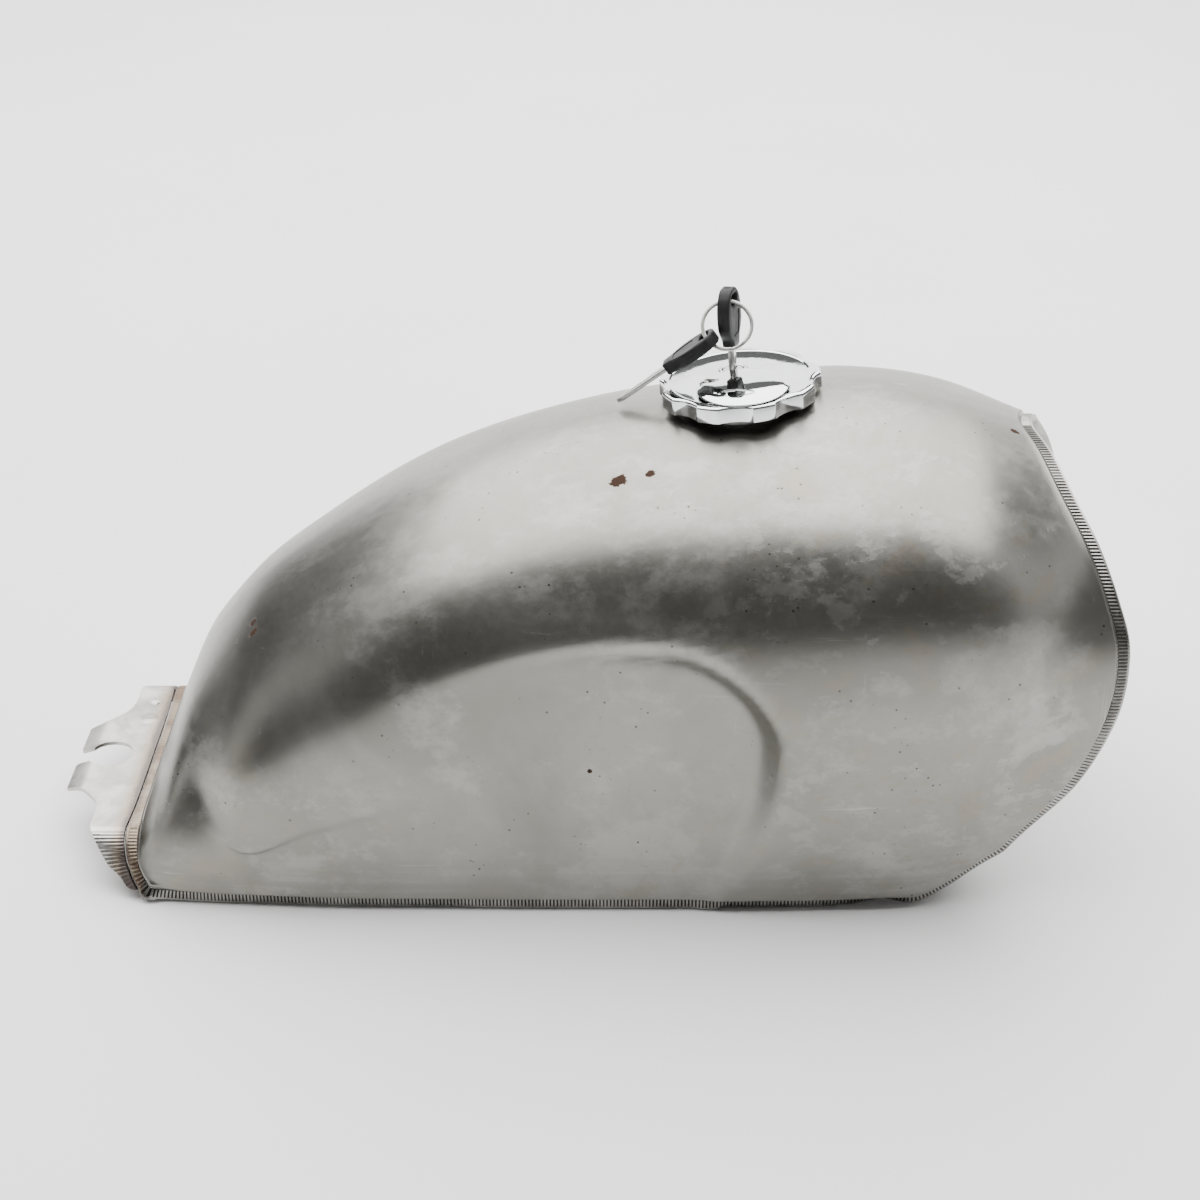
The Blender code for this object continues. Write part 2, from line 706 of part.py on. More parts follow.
# ---- cap top ----
def make_disc():
    x, y = DISC_AT
    pivot = Vector((PIVOT[0] - x, PIVOT[1] - y))
    profile = [(0, 3.9), (9, 3.7), (16, 3.1), (21, 2.2), (22.6, 1.4), (DISC_RADIUS, 0.7),
               (22.6, 0.35), (0, 0.35)]
    disc = lathe("keyhole_cover", profile, cap_frame(x, y), CHROME, steps=48)
    along = math.atan2(pivot.y, pivot.x)
    reach = pivot.length
    notch = [(reach - 7.5, 0), (reach + 6, -7.5), (reach + 6, 7.5)]
    place = cap_frame(x, y) @ Matrix.Rotation(along, 4, "Z")
    cut(disc, prism("notch_cutter_cover", [notch], 1.5, 6, place, group=CUTTERS))
    cut(disc, drum("pivot_cutter", 1.9, -1, 6, cap_frame(*PIVOT), group=CUTTERS, sides=16))
    return disc


def make_rivet():
    profile = [(0, 2.9), (1.8, 2.6), (2.7, 1.85), (1.5, 1.85), (1.5, -1.6), (0, -1.6)]
    return lathe("cover_rivet", profile, cap_frame(*PIVOT), ZINC, steps=16)


def make_lock():
    bore = ROTOR_RADIUS + 0.35
    profile = [(bore, 0.1), (LOCK_RADIUS, 0.1), (LOCK_RADIUS, LOCK_LOW),
               (bore, LOCK_LOW)]
    lock = lathe("lock_housing", profile, cap_frame(*LOCK_AT), CHROME, steps=32)
    window = [(0, -3.3), (LOCK_RADIUS + 4, -3.3), (LOCK_RADIUS + 4, 3.3), (0, 3.3)]
    cut(lock, prism("bolt_window_cutter", [window], BOLT_LOW - 0.4, BOLT_LOW + 3.4,
                    lock_frame(90), group=CUTTERS))
    rotor = lathe("lock_barrel", [(0, 0), (ROTOR_RADIUS, 0), (ROTOR_RADIUS, BOLT_LOW + 3.6),
                                  (0, BOLT_LOW + 3.6)], cap_frame(*LOCK_AT), BRASS, steps=32)
    half, thick = BLADE_HALF + 0.4, BLADE_THICK / 2 + 0.35
    slot = [(-half, -thick), (half, -thick), (half, thick), (-half, thick)]
    cut(rotor, prism("keyway_cutter", [slot], BLADE_LOW - 0.6, 2, key_frame(),
                     group=CUTTERS))
    bolt = [(-4, -2.9), (LOCK_RADIUS + 0.2, -2.9), (LOCK_RADIUS + 1.6, 0),
            (LOCK_RADIUS + 0.2, 2.9), (-4, 2.9)]
    prism("lock_bolt", [bolt], BOLT_LOW, BOLT_LOW + 3, lock_frame(90), BRASS)


def lock_frame(turn):
    return cap_frame(*LOCK_AT) @ Matrix.Rotation(math.radians(turn), 4, "Z")


def key_frame():
    """Key axes: X across the key's width, Z up the key, at the mouth of the keyway."""
    return lock_frame(90 - KEY_TURN)


# ---- keys ----
def head_outline():
    width, low, high = HEAD_HALF, HEAD_LOW, HEAD_HIGH
    half = [(4.4, low), (5.6, low + 5), (8.6, low + 8.5), (width, low + 12.5),
            (width, high - 12), (width - 0.8, high - 7.5), (width - 2.7, high - 3.8),
            (width - 5.6, high - 1), (width - 8, high)]
    return half + [(-x, z) for x, z in reversed(half)]


def upright(place):
    """Turns a flat outline's height into the key's own length."""
    return place @ Matrix.Rotation(math.radians(90), 4, "X")


def make_key(prefix, place):
    hole = [(-5.2, HOLE_AT + 1.6), (-4.2, HOLE_AT - 2.6), (4.2, HOLE_AT - 2.6),
            (5.2, HOLE_AT + 1.6), (3.6, HOLE_AT + 3), (-3.6, HOLE_AT + 3)]
    half = HEAD_THICK / 2
    head = prism(f"{prefix}_head", [head_outline(), hole], -half, half, upright(place),
                 PLASTIC)
    edge = head.modifiers.new("edge", "BEVEL")
    edge.width = 1.0 * MM
    edge.segments = 2
    edge.limit_method = "ANGLE"
    edge.angle_limit = math.radians(50)
    apply_modifiers(head)
    wide, thick = BLADE_HALF + 0.4, BLADE_THICK / 2 + 0.35
    socket = [(-wide, HEAD_LOW - 3), (wide, HEAD_LOW - 3), (wide, HEAD_LOW + 9.5),
              (-wide, HEAD_LOW + 9.5)]
    cut(head, prism(f"{prefix}_socket_cutter", [socket], -thick, thick, upright(place),
                    group=CUTTERS))
    blade = [(-BLADE_HALF, HEAD_LOW + 9), (BLADE_HALF, HEAD_LOW + 9), (BLADE_HALF, 3)]
    for tooth, depth in enumerate(TOOTH_DEPTHS):
        z = 1 - tooth * 3
        blade += [(BLADE_HALF - depth, z), (BLADE_HALF - depth, z - 1.1)]
    blade += [(0.8, BLADE_LOW), (-0.8, BLADE_LOW), (-BLADE_HALF, BLADE_LOW + 3.5)]
    blade.reverse()
    prism(f"{prefix}_blade", [blade], -BLADE_THICK / 2, BLADE_THICK / 2, upright(place),
          ZINC)


def ring_matrix():
    """Ring axes: X to the front, Y up the ring, Z out of its face to the right."""
    top = Vector((LOCK_AT[0] + RING_SIDE, LOCK_AT[1], HOLE_AT - 2.6 + RING_WIRE + 0.7))
    lean = math.radians(RING_LEAN)
    up = Vector((0, math.sin(lean), math.cos(lean)))
    face = Vector((0, -math.cos(lean), math.sin(lean)))
    middle = top - up * RING_RADIUS
    columns = Matrix((Vector((1, 0, 0)), up, face)).transposed().to_4x4()
    return cap_frame(*middle) @ columns


def make_ring():
    points = []
    for angle in np.linspace(0, 2 * math.pi, 36, endpoint=False):
        points.append((RING_RADIUS * math.cos(angle), RING_RADIUS * math.sin(angle), 0))
    return wire("key_ring", points, RING_WIRE, ring_matrix(), ZINC, True, 2)


def spare_frame():
    """Key axes of the spare, which hangs from the ring and lies on the tank."""
    angle = math.radians(SPARE_ON_RING)
    on_ring = ring_matrix() @ (Vector((math.cos(angle), math.sin(angle), 0))
                               * RING_RADIUS * MM)
    tip = cap_frame(*SPARE_TIP).translation
    up = (on_ring - tip).normalized()
    side = cap_frame().to_3x3() @ Vector((0, 1, SPARE_TILT))
    thick = side.cross(up).normalized()
    side = up.cross(thick)
    axes = Matrix((side, thick, up)).transposed().to_4x4()
    at = on_ring - up * (HOLE_AT + SPARE_SLIP) * MM
    return Matrix.Translation(at) @ axes


# ---- fittings in the pan ----
def make_fittings():
    for side, hand in ((1, "left"), (-1, "right")):
        make_cup(side, hand)
        make_spigot(side, hand)
    x, y = BOSS_AT
    place = Matrix.Translation(Vector((x + SHIFT_X, y, 0)) * MM)
    boss = lathe("petcock_boss", [(8.6, 7.0), (8.6, 0.8), (16, 0.8), (16, 4.6), (10.6, 4.6),
                                  (10.6, 7.0)][::-1], place, ZINC)
    return boss


def make_cup(side, hand):
    """Channel welded to the tunnel wall; a rubber buffer on the frame slides into it."""
    x, z = CUP_AT
    outline = arc(0, 0, CUP_RADIUS, 90, 270, 17)
    outline += [(CUP_REACH, -CUP_RADIUS), (CUP_REACH, -CUP_RADIUS + CUP_WALL)]
    outline += arc(0, 0, CUP_RADIUS - CUP_WALL, 270, 90, 17)
    outline += [(CUP_REACH, CUP_RADIUS - CUP_WALL), (CUP_REACH, CUP_RADIUS)]
    outer = TUNNEL_HALF - 3.4
    low, high = (outer - CUP_DEPTH, outer) if side > 0 else (-outer, CUP_DEPTH - outer)
    place = Matrix.Translation(Vector((x + SHIFT_X, 0, z)) * MM)
    turned = place @ Matrix.Rotation(math.radians(90), 4, "X")
    prism(f"front_mount_cup_{hand}", [outline], -high, -low, turned, ZINC)


def make_spigot(side, hand):
    x, z = SPIGOT_AT
    outer = TUNNEL_HALF - 3.2
    place = Matrix.Translation(Vector((x + SHIFT_X, side * outer, z)) * MM)
    turned = place @ Matrix.Rotation(math.radians(90 * side), 4, "X")
    profile = [(2.7, 14), (3.9, 14), (4.4, 12.6), (3.9, 11.4), (3.9, 1.6), (6.5, 1.6),
               (6.5, 0), (2.7, 0)]
    lathe(f"crossover_spigot_{hand}", profile, turned, BRASS, steps=24)


left_skin = make_skin("left_shell", 1)
right_skin = make_skin("right_shell", -1)
for skin in (left_skin, right_skin):
    cut(skin, drum(f"neck_cutter_{skin.name}", NECK_OUT + 0.4, -40, 12, cap_frame(),
                   group=CUTTERS, sides=48))
pan = make_pan()
bracket = make_bracket()
make_neck()
make_bayonet()
make_cap()
make_seal()
make_disc()
make_rivet()
make_lock()
for number, (x, y) in enumerate(SCREW_PLACES, 1):
    lathe(f"bayonet_screw_{number}", [(0, -5.5), (SCREW_SHANK, -5.5), (SCREW_SHANK, -14.4),
                                      (3, -14.4), (3, -15.6), (2.2, -16.4), (0, -16.4)],
          cap_frame(x, y), ZINC, steps=16)
make_key("key", key_frame())
make_ring()
make_key("spare_key", spare_frame())
make_fittings()
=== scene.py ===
"""Bare steel motorcycle fuel tank with a chrome locking cap and two keys on a ring."""

import math

import bmesh
import bpy
import numpy as np
from mathutils import Matrix, Vector


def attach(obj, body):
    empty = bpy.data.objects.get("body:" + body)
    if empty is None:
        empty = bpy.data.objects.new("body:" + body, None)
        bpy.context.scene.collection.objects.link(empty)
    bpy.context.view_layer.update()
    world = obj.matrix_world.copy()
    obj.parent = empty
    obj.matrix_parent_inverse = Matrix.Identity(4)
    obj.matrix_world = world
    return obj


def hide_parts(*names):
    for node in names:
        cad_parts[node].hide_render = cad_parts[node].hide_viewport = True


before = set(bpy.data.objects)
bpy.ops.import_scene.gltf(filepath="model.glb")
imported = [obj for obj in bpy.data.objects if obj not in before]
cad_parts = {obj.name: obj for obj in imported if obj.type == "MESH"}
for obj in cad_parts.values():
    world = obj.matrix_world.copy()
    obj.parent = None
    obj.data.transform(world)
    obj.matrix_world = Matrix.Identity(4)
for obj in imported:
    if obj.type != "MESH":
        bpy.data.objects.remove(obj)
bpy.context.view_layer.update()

MM = 0.001
SHIFT_X = 13.8
SHEET = 1.2

# ---- the skin: the CAD part's surface, drawn finely and with a softer dent ----
GRID_LONG = 170
GRID_ROUND = 72
SEAM_Z = 8.7
CURL_IN = 2.6
REAR_FLANGE_Z = 29.6
CURL_OUT = 1.6
FLANGE = 6.5
PAN_GAP = 0.35

REAR_EDGE = [(-234, 0, 38), (-234, 22, 38), (-234, 43, 37.6), (-234.5, 60, 36),
             (-235, 72, 32.5), (-235, 81, 27.5), (-234.5, 88, 21.5),
             (-232, 92.5, 16), (-228, 95.5, 11.5)]
TAIL_LOW = [(-222, 0, 69), (-222.5, 25, 67.5), (-223, 48, 63.5), (-223.5, 66, 57),
            (-224, 79, 48), (-224, 87.5, 38.5), (-223, 92.5, 28.5),
            (-220.5, 95.5, 18.5), (-216, 97, 9.6)]
TAIL_HIGH = [(-207, 0, 101), (-207.5, 27, 98), (-208.5, 51, 90.5), (-209, 70, 78),
             (-209, 83, 63), (-208.5, 91, 48), (-207, 96, 34), (-204.5, 98, 21),
             (-200, 98.5, 8.8)]
FRONT_EDGE = [(209, 0, 226), (214.5, 25, 221.5), (221.5, 48, 209.5), (232, 68, 191),
              (241, 83, 168), (247.5, 91.5, 142), (245, 95, 108), (229, 96.5, 70),
              (200, 97, 34)]
SECTIONS = [(-183, 131, 101.5, 42, -180, 100, SEAM_Z, 0),
            (-144, 163, 106, 60, -140, 102.5, SEAM_Z, 0),
            (-82, 202, 112, 84, -80, 105, SEAM_Z, 0),
            (-3, 228.5, 117.5, 106, -3, 106, SEAM_Z, 0),
            (70, 239, 122, 124, 60, 106, SEAM_Z, 2),
            (130, 243.3, 123, 134, 112, 105, SEAM_Z, 10),
            (178, 236, 114, 134, 163, 102, 10, 24)]
SECTION_POWER = 2.12
UPPER_POINTS = 5
LOWER_POINTS = 4

DENT_FLOOR = 104.5
DENT_TOP = 160
DENT_TOP_X = 12
DENT_TOP_FALL = 0.0022
DENT_FRONT = 91
DENT_FRONT_Z = 95
DENT_FRONT_FALL = 0.0038
DENT_RADIUS = 45
DENT_WALL = 17
DENT_FADE = (-140, -45)
DENT_SOFT = 2.0
DENT_SOFT_REAR = 4.5

TUNNEL_X = [-222, -150, -60, 60, 195]
TUNNEL_ROOF = [22, 62, 92, 118, 150]
TUNNEL_HALF = 41
TUNNEL_MARKS = [0, 0.2, 0.34, 0.66, 0.76, 1]
PAN_REAR = -222
PAN_FRONT = 196

CAP_AT = (69, 0, 249.6)
CAP_LEAN = 5.5
NECK_OUT = 29


def spline(knots, values, at):
    """Smooth curve through values at knots, read at the given places."""
    knots = np.asarray(knots, float)
    values = np.asarray(values, float)
    at = np.asarray(at, float)
    slopes = np.gradient(values, knots, axis=0)
    index = np.clip(np.searchsorted(knots, at, side="right") - 1, 0, len(knots) - 2)
    shape = (len(at),) + (1,) * (values.ndim - 1)
    width = (knots[index + 1] - knots[index]).reshape(shape)
    part = ((at - knots[index]).reshape(shape)) / width
    start = (2 * part**3 - 3 * part**2 + 1) * values[index]
    start_slope = (part**3 - 2 * part**2 + part) * slopes[index] * width
    end = (3 * part**2 - 2 * part**3) * values[index + 1]
    end_slope = (part**3 - part**2) * slopes[index + 1] * width
    return start + start_slope + end + end_slope


def smooth(value):
    value = np.clip(value, 0, 1)
    return value * value * (3 - 2 * value)


def unit(vectors):
    return vectors / np.linalg.norm(vectors, axis=-1, keepdims=True)


def section_points(crown_x, crown_z, half, wide_z, low_x, low_half, low_z, bulge):
    points = []
    for angle in np.linspace(0, math.pi / 2, UPPER_POINTS):
        y = half * math.sin(angle) ** (2 / SECTION_POWER)
        z = wide_z + (crown_z - wide_z) * max(math.cos(angle), 0) ** (2 / SECTION_POWER)
        points.append((y, z))
    for step in range(1, LOWER_POINTS + 1):
        part = step / LOWER_POINTS
        y = half - (half - low_half) * part**1.8
        points.append((y, wide_z + (low_z - wide_z) * part))
    placed = []
    for y, z in points:
        drop = (crown_z - z) / (crown_z - low_z)
        x = crown_x + (low_x - crown_x) * drop**2 + bulge * math.sin(math.pi * drop)
        placed.append((x, y, z))
    return placed


def dent_depth(points):
    x, y, z = points[..., 0], points[..., 1], points[..., 2]
    top = DENT_TOP - DENT_TOP_FALL * (x - DENT_TOP_X) ** 2
    front = DENT_FRONT - DENT_FRONT_FALL * (z - DENT_FRONT_Z) ** 2
    across = x - front + DENT_RADIUS
    above = z - top + DENT_RADIUS
    corner = np.hypot(np.maximum(across, 0), np.maximum(above, 0))
    inside = DENT_RADIUS - corner - np.minimum(np.maximum(across, above), 0)
    fade = smooth((x - DENT_FADE[0]) / (DENT_FADE[1] - DENT_FADE[0]))
    pressed = smooth(inside / DENT_WALL) * fade
    proud = y - DENT_FLOOR
    soft = DENT_SOFT + DENT_SOFT_REAR * smooth((-40 - x) / 90)
    return pressed * (proud + np.hypot(proud, soft)) / 2


def skin_grid(long, round_about):
    """Points of the left skin, rows along the tank, columns from crown to seam."""
    rows = [REAR_EDGE, TAIL_LOW, TAIL_HIGH]
    rows += [section_points(*section) for section in SECTIONS]
    net = np.array(rows + [FRONT_EDGE], float)
    mirrored = net[:, :0:-1] * np.array([1, -1, 1])
    whole = np.concatenate([mirrored, net], axis=1)
    steps = np.linalg.norm(np.diff(net[:, 0], axis=0), axis=1)
    knots = np.concatenate([[0], np.cumsum(steps)]) / steps.sum()
    marks = np.linspace(-1, 1, whole.shape[1])
    sheets = spline(knots, whole, np.linspace(0, 1, long + 1))
    across = spline(marks, sheets.transpose(1, 0, 2), np.linspace(0, 1, round_about + 1))
    grid = across.transpose(1, 0, 2)
    grid[..., 1] -= dent_depth(grid)
    grid[:, -1, 2] = np.maximum(grid[:, -1, 2], SEAM_Z)
    return grid


def grid_normals(grid):
    along = np.gradient(grid, axis=0)
    across = np.gradient(grid, axis=1)
    across[:, 0] = (0, 1, 0)
    return unit(np.cross(along, across))


def border(grid):
    return np.concatenate([grid[0], grid[1:-1, -1], grid[-1, ::-1]])


def seam_frames(grid):
    """Border points with the outward and the inward direction of the seam there."""
    edge = border(grid)
    normals = border(grid_normals(grid))
    count = grid.shape[1]
    tangents = np.gradient(edge, axis=0)
    out = unit(np.cross(normals, tangents))
    rear = np.zeros(len(edge))
    front = np.zeros(len(edge))
    rear[:count] = smooth((1 - np.linspace(0, 1, count)) / 0.45)
    front[-count:] = rear[:count][::-1]
    out = out * (1 - rear - front)[:, None]
    out[:, 0] += front - rear
    out = unit(out)
    inward = unit(np.sum(normals * out, axis=1)[:, None] * out - normals)
    curl = np.full(len(edge), CURL_IN)
    curl[:count] = np.clip(edge[:count, 2] - REAR_FLANGE_Z, CURL_IN, None)
    return edge, out, inward, curl[:, None]


def cap_frame(x=0, y=0, z=0):
    at = Vector((CAP_AT[0] + SHIFT_X, CAP_AT[1], CAP_AT[2])) * MM
    lean = Matrix.Rotation(math.radians(-CAP_LEAN), 4, "Y")
    return Matrix.Translation(at) @ lean @ Matrix.Translation(Vector((x, y, z)) * MM)


WORLD = Matrix.Translation((SHIFT_X * MM, 0, 0))


# ---- materials ----
class Nodes:
    """One material and short calls that add nodes to it."""

    def __init__(self, name):
        self.material = bpy.data.materials.new(name)
        self.material.use_nodes = True
        self.tree = self.material.node_tree
        self.shader = self.tree.nodes["Principled BSDF"]
        coordinates = self.tree.nodes.new("ShaderNodeTexCoord")
        self.place = coordinates.outputs["Object"]

    def link(self, source, target):
        self.tree.links.new(source, target)

    def stretched(self, scale, turn=(0, 0, 0), shift=(0, 0, 0)):
        node = self.tree.nodes.new("ShaderNodeMapping")
        node.inputs["Scale"].default_value = scale
        node.inputs["Rotation"].default_value = turn
        node.inputs["Location"].default_value = shift
        self.link(self.place, node.inputs["Vector"])
        return node.outputs["Vector"]

    def noise(self, scale, detail=4, rough=0.55, place=None, distort=0):
        node = self.tree.nodes.new("ShaderNodeTexNoise")
        node.inputs["Scale"].default_value = scale
        node.inputs["Detail"].default_value = detail
        node.inputs["Roughness"].default_value = rough
        node.inputs["Distortion"].default_value = distort
        self.link(place or self.place, node.inputs["Vector"])
        return node.outputs["Fac"]

    def cells(self, scale):
        node = self.tree.nodes.new("ShaderNodeTexVoronoi")
        node.inputs["Scale"].default_value = scale
        self.link(self.place, node.inputs["Vector"])
        return node.outputs["Distance"]

    def coordinate(self, axis):
        """Place along one of the object's axes, in metres."""
        node = self.tree.nodes.new("ShaderNodeSeparateXYZ")
        self.link(self.place, node.inputs[0])
        return node.outputs[axis]

    def ramp(self, value, low, high, first=0.0, last=1.0):
        node = self.tree.nodes.new("ShaderNodeMapRange")
        node.interpolation_type = "SMOOTHSTEP"
        node.inputs["From Min"].default_value = low
        node.inputs["From Max"].default_value = high
        node.inputs["To Min"].default_value = first
        node.inputs["To Max"].default_value = last
        self.link(value, node.inputs["Value"])
        return node.outputs["Result"]

    def math(self, operation, one, two):
        node = self.tree.nodes.new("ShaderNodeMath")
        node.operation = operation
        for socket, value in zip(node.inputs, (one, two)):
            if isinstance(value, (int, float)):
                socket.default_value = value
            else:
                self.link(value, socket)
        return node.outputs[0]

    def mix(self, factor, one, two):
        node = self.tree.nodes.new("ShaderNodeMix")
        node.data_type = "RGBA"
        for socket, value in ((node.inputs[0], factor), (node.inputs[6], one),
                              (node.inputs[7], two)):
            if isinstance(value, tuple):
                socket.default_value = (*value, 1)
            elif isinstance(value, (int, float)):
                socket.default_value = value
            else:
                self.link(value, socket)
        return node.outputs[2]

    def bump(self, height, strength, distance, before=None):
        node = self.tree.nodes.new("ShaderNodeBump")
        node.inputs["Strength"].default_value = strength
        node.inputs["Distance"].default_value = distance
        self.link(height, node.inputs["Height"])
        if before:
            self.link(before, node.inputs["Normal"])
        return node.outputs["Normal"]

    def finish(self, colour, roughness, normal=None, metallic=1.0):
        self.shader.inputs["Metallic"].default_value = metallic
        self.link(colour, self.shader.inputs["Base Color"])
        self.link(roughness, self.shader.inputs["Roughness"])
        if normal:
            self.link(normal, self.shader.inputs["Normal"])
        return self.material


def spot(nodes, at, radius, stretch):
    """1 inside a ragged spot of that radius in millimetres round a point, 0 outside."""
    ragged = 0.9
    x, y, z = at
    scale = [1 / (radius * MM * side) for side in stretch]
    shift = [-value * side * MM for value, side in zip((x + SHIFT_X, y, z), scale)]
    place = nodes.stretched(scale, shift=shift)
    length = nodes.tree.nodes.new("ShaderNodeVectorMath")
    length.operation = "LENGTH"
    nodes.link(place, length.inputs[0])
    rough = nodes.noise(420, 5, 0.7)
    edge = nodes.math("ADD", length.outputs["Value"],
                      nodes.math("MULTIPLY", nodes.math("SUBTRACT", rough, 0.5), ragged * 2))
    return nodes.ramp(edge, 1.05, 0.75)


# Each rust mark: place in mm, radius in mm, and how far it is drawn out along X, Y and Z.
# A mark is longest across the sheet, so its place is only near the sheet, not on it.
RUST = [((-175, -40, 133), 2.0, (1, 1, 4)), ((-174, -47, 132), 2.6, (1, 1, 4)),
        ((CAP_AT[0] - 60, -56, 218), 3.2, (1.5, 1, 4)),
        ((CAP_AT[0] - 45, -55, 221), 2.0, (1.3, 1, 4)), ((205, -15, 227), 2.2, (1.2, 1, 4)),
        ((249, -92, 115), 2.0, (4, 1, 1.4)), ((-5, -DENT_FLOOR, 85), 1.3, (1, 4, 1))]


def bare_steel():
    """Satin sheet steel: cloudy polish, scuffs, scratches, specks and a few rust spots."""
    n = Nodes("bare_steel")
    cloud = n.noise(9, 5, 0.6, distort=0.6)
    patch = n.noise(17, 9, 0.7, place=n.stretched((1, 1.6, 1.2)))
    scuff = n.noise(34, 10, 0.72, place=n.stretched((1, 1, 1.5), turn=(0, 0.4, 0)))
    where = n.ramp(n.noise(6, 3, 0.5, place=n.stretched((1, 1, 1), shift=(3, 1, 2))), 0.42, 0.62)
    fine = n.noise(330, 5, 0.7)
    along = n.noise(90, 6, 0.6, place=n.stretched((0.06, 1, 2.2), turn=(0, 0.18, 0)))
    across = n.noise(80, 6, 0.6, place=n.stretched((2.4, 1, 0.07), turn=(0, -0.5, 0)))
    scratch = n.math("MAXIMUM", n.ramp(along, 0.66, 0.74), n.ramp(across, 0.68, 0.76))
    specks = n.math("MULTIPLY", n.ramp(n.cells(210), 0.17, 0.08),
                    n.ramp(n.noise(47, 3, 0.6), 0.56, 0.62))
    # Darker streaks towards the bottom edge of the tank.
    low_edge = n.ramp(n.coordinate("Z"), 0.045, 0.012)
    low_streaks = n.math("MULTIPLY", low_edge, n.ramp(along, 0.42, 0.6))
    colour = n.mix(n.ramp(cloud, 0.35, 0.68), (0.215, 0.207, 0.186), (0.28, 0.273, 0.252))
    colour = n.mix(n.ramp(patch, 0.50, 0.62, 0, 0.45), colour, (0.37, 0.364, 0.345))
    bare = n.math("MULTIPLY", n.ramp(scuff, 0.53, 0.58), where)
    colour = n.mix(n.math("MULTIPLY", bare, 0.32), colour, (0.41, 0.402, 0.38))
    stain = n.math("MULTIPLY", n.ramp(scuff, 0.46, 0.40), where)
    colour = n.mix(n.math("MULTIPLY", stain, 0.5), colour, (0.265, 0.232, 0.178))
    colour = n.mix(n.ramp(fine, 0.55, 0.75, 0, 0.4), colour, (0.21, 0.20, 0.18))
    colour = n.mix(n.math("MULTIPLY", scratch, 0.35), colour, (0.52, 0.515, 0.50))
    colour = n.mix(n.math("MULTIPLY", low_streaks, 0.4), colour, (0.19, 0.182, 0.165))
    colour = n.mix(n.math("MULTIPLY", specks, 0.85), colour, (0.07, 0.055, 0.045))
    rust = None
    for at, radius, stretch in RUST:
        mark = spot(n, at, radius, stretch)
        rust = mark if rust is None else n.math("MAXIMUM", rust, mark)
    colour = n.mix(n.math("MULTIPLY", rust, 0.92), colour, (0.055, 0.026, 0.015))
    rough = n.math("ADD", n.ramp(cloud, 0.3, 0.7, 0.29, 0.34), n.ramp(patch, 0.5, 0.62, 0, 0.03))
    rough = n.math("ADD", rough, n.math("MULTIPLY", bare, 0.06))
    rough = n.math("ADD", rough, n.ramp(fine, 0.4, 0.75, 0.0, 0.05))
    rough = n.math("MAXIMUM", rough, n.math("MULTIPLY", rust, 0.8))
    low = n.bump(n.noise(11, 1, 0.4), 0.16, 0.002)
    marks = n.math("ADD", fine, n.math("MULTIPLY", scratch, -0.8))
    normal = n.bump(marks, 0.1, 0.0001, low)
    normal = n.bump(n.math("ADD", n.math("MULTIPLY", bare, -0.3), rust), 0.3, 0.0002, normal)
    return n.finish(colour, rough, normal)


def plain_steel(name, tint, low, high, scale=60):
    n = Nodes(name)
    cloud = n.noise(scale, 5, 0.6)
    fine = n.noise(scale * 9, 4, 0.7)
    dark = tuple(value * 0.78 for value in tint)
    colour = n.mix(n.ramp(cloud, 0.35, 0.65), dark, tint)
    colour = n.mix(n.ramp(fine, 0.62, 0.8, 0, 0.5), colour, tuple(v * 0.55 for v in tint))
    rough = n.math("ADD", n.ramp(cloud, 0.3, 0.7, low, high), n.ramp(fine, 0.4, 0.7, 0, 0.06))
    return n.finish(colour, rough, n.bump(fine, 0.12, 0.0002))


def chrome():
    n = Nodes("chrome")
    haze = n.noise(70, 4, 0.6)
    wipe = n.noise(420, 3, 0.6, place=n.stretched((1, 6, 1)))
    colour = n.mix(n.ramp(haze, 0.4, 0.7), (0.83, 0.84, 0.85), (0.76, 0.765, 0.77))
    rough = n.math("ADD", n.ramp(haze, 0.4, 0.75, 0.03, 0.09), n.ramp(wipe, 0.66, 0.8, 0, 0.08))
    return n.finish(colour, rough, n.bump(n.noise(45, 3), 0.05, 0.001))


def plastic():
    n = Nodes("black_plastic")
    cloud = n.noise(120, 4, 0.6)
    grit = n.noise(2600, 2, 0.5)
    colour = n.mix(n.ramp(cloud, 0.35, 0.7), (0.006, 0.006, 0.0065), (0.013, 0.013, 0.0135))
    rough = n.ramp(cloud, 0.3, 0.7, 0.42, 0.55)
    n.shader.inputs["Specular IOR Level"].default_value = 0.3
    return n.finish(colour, rough, n.bump(grit, 0.25, 0.0001), 0.0)


def rubber():
    n = Nodes("black_rubber")
    cloud = n.noise(200, 4, 0.6)
    colour = n.mix(n.ramp(cloud, 0.35, 0.7), (0.014, 0.014, 0.014), (0.035, 0.034, 0.033))
    return n.finish(colour, n.ramp(cloud, 0.3, 0.7, 0.65, 0.85), n.bump(cloud, 0.2, 0.0002), 0.0)


def seam_steel(name, light, dark):
    """Rolled seam steel, scorched brown at the rear where the bracket is welded on."""
    n = Nodes(name)
    cloud = n.noise(45, 6, 0.65)
    fine = n.noise(500, 4, 0.7)
    colour = n.mix(n.ramp(cloud, 0.38, 0.62), dark, light)
    colour = n.mix(n.ramp(fine, 0.6, 0.75, 0, 0.6), colour, (0.05, 0.042, 0.035))
    heat = n.ramp(n.coordinate("X"), -0.216, -0.222)
    burnt = n.mix(n.ramp(cloud, 0.4, 0.6), (0.12, 0.075, 0.045), (0.22, 0.17, 0.12))
    colour = n.mix(n.math("MULTIPLY", heat, 0.75), colour, burnt)
    rusty = n.ramp(n.noise(30, 6, 0.7), 0.64, 0.70)
    colour = n.mix(n.math("MULTIPLY", rusty, 0.7), colour, (0.12, 0.05, 0.022))
    rough = n.math("ADD", n.ramp(cloud, 0.35, 0.65, 0.26, 0.42), n.ramp(fine, 0.5, 0.75, 0, 0.12))
    return n.finish(colour, rough, n.bump(fine, 0.15, 0.0002))


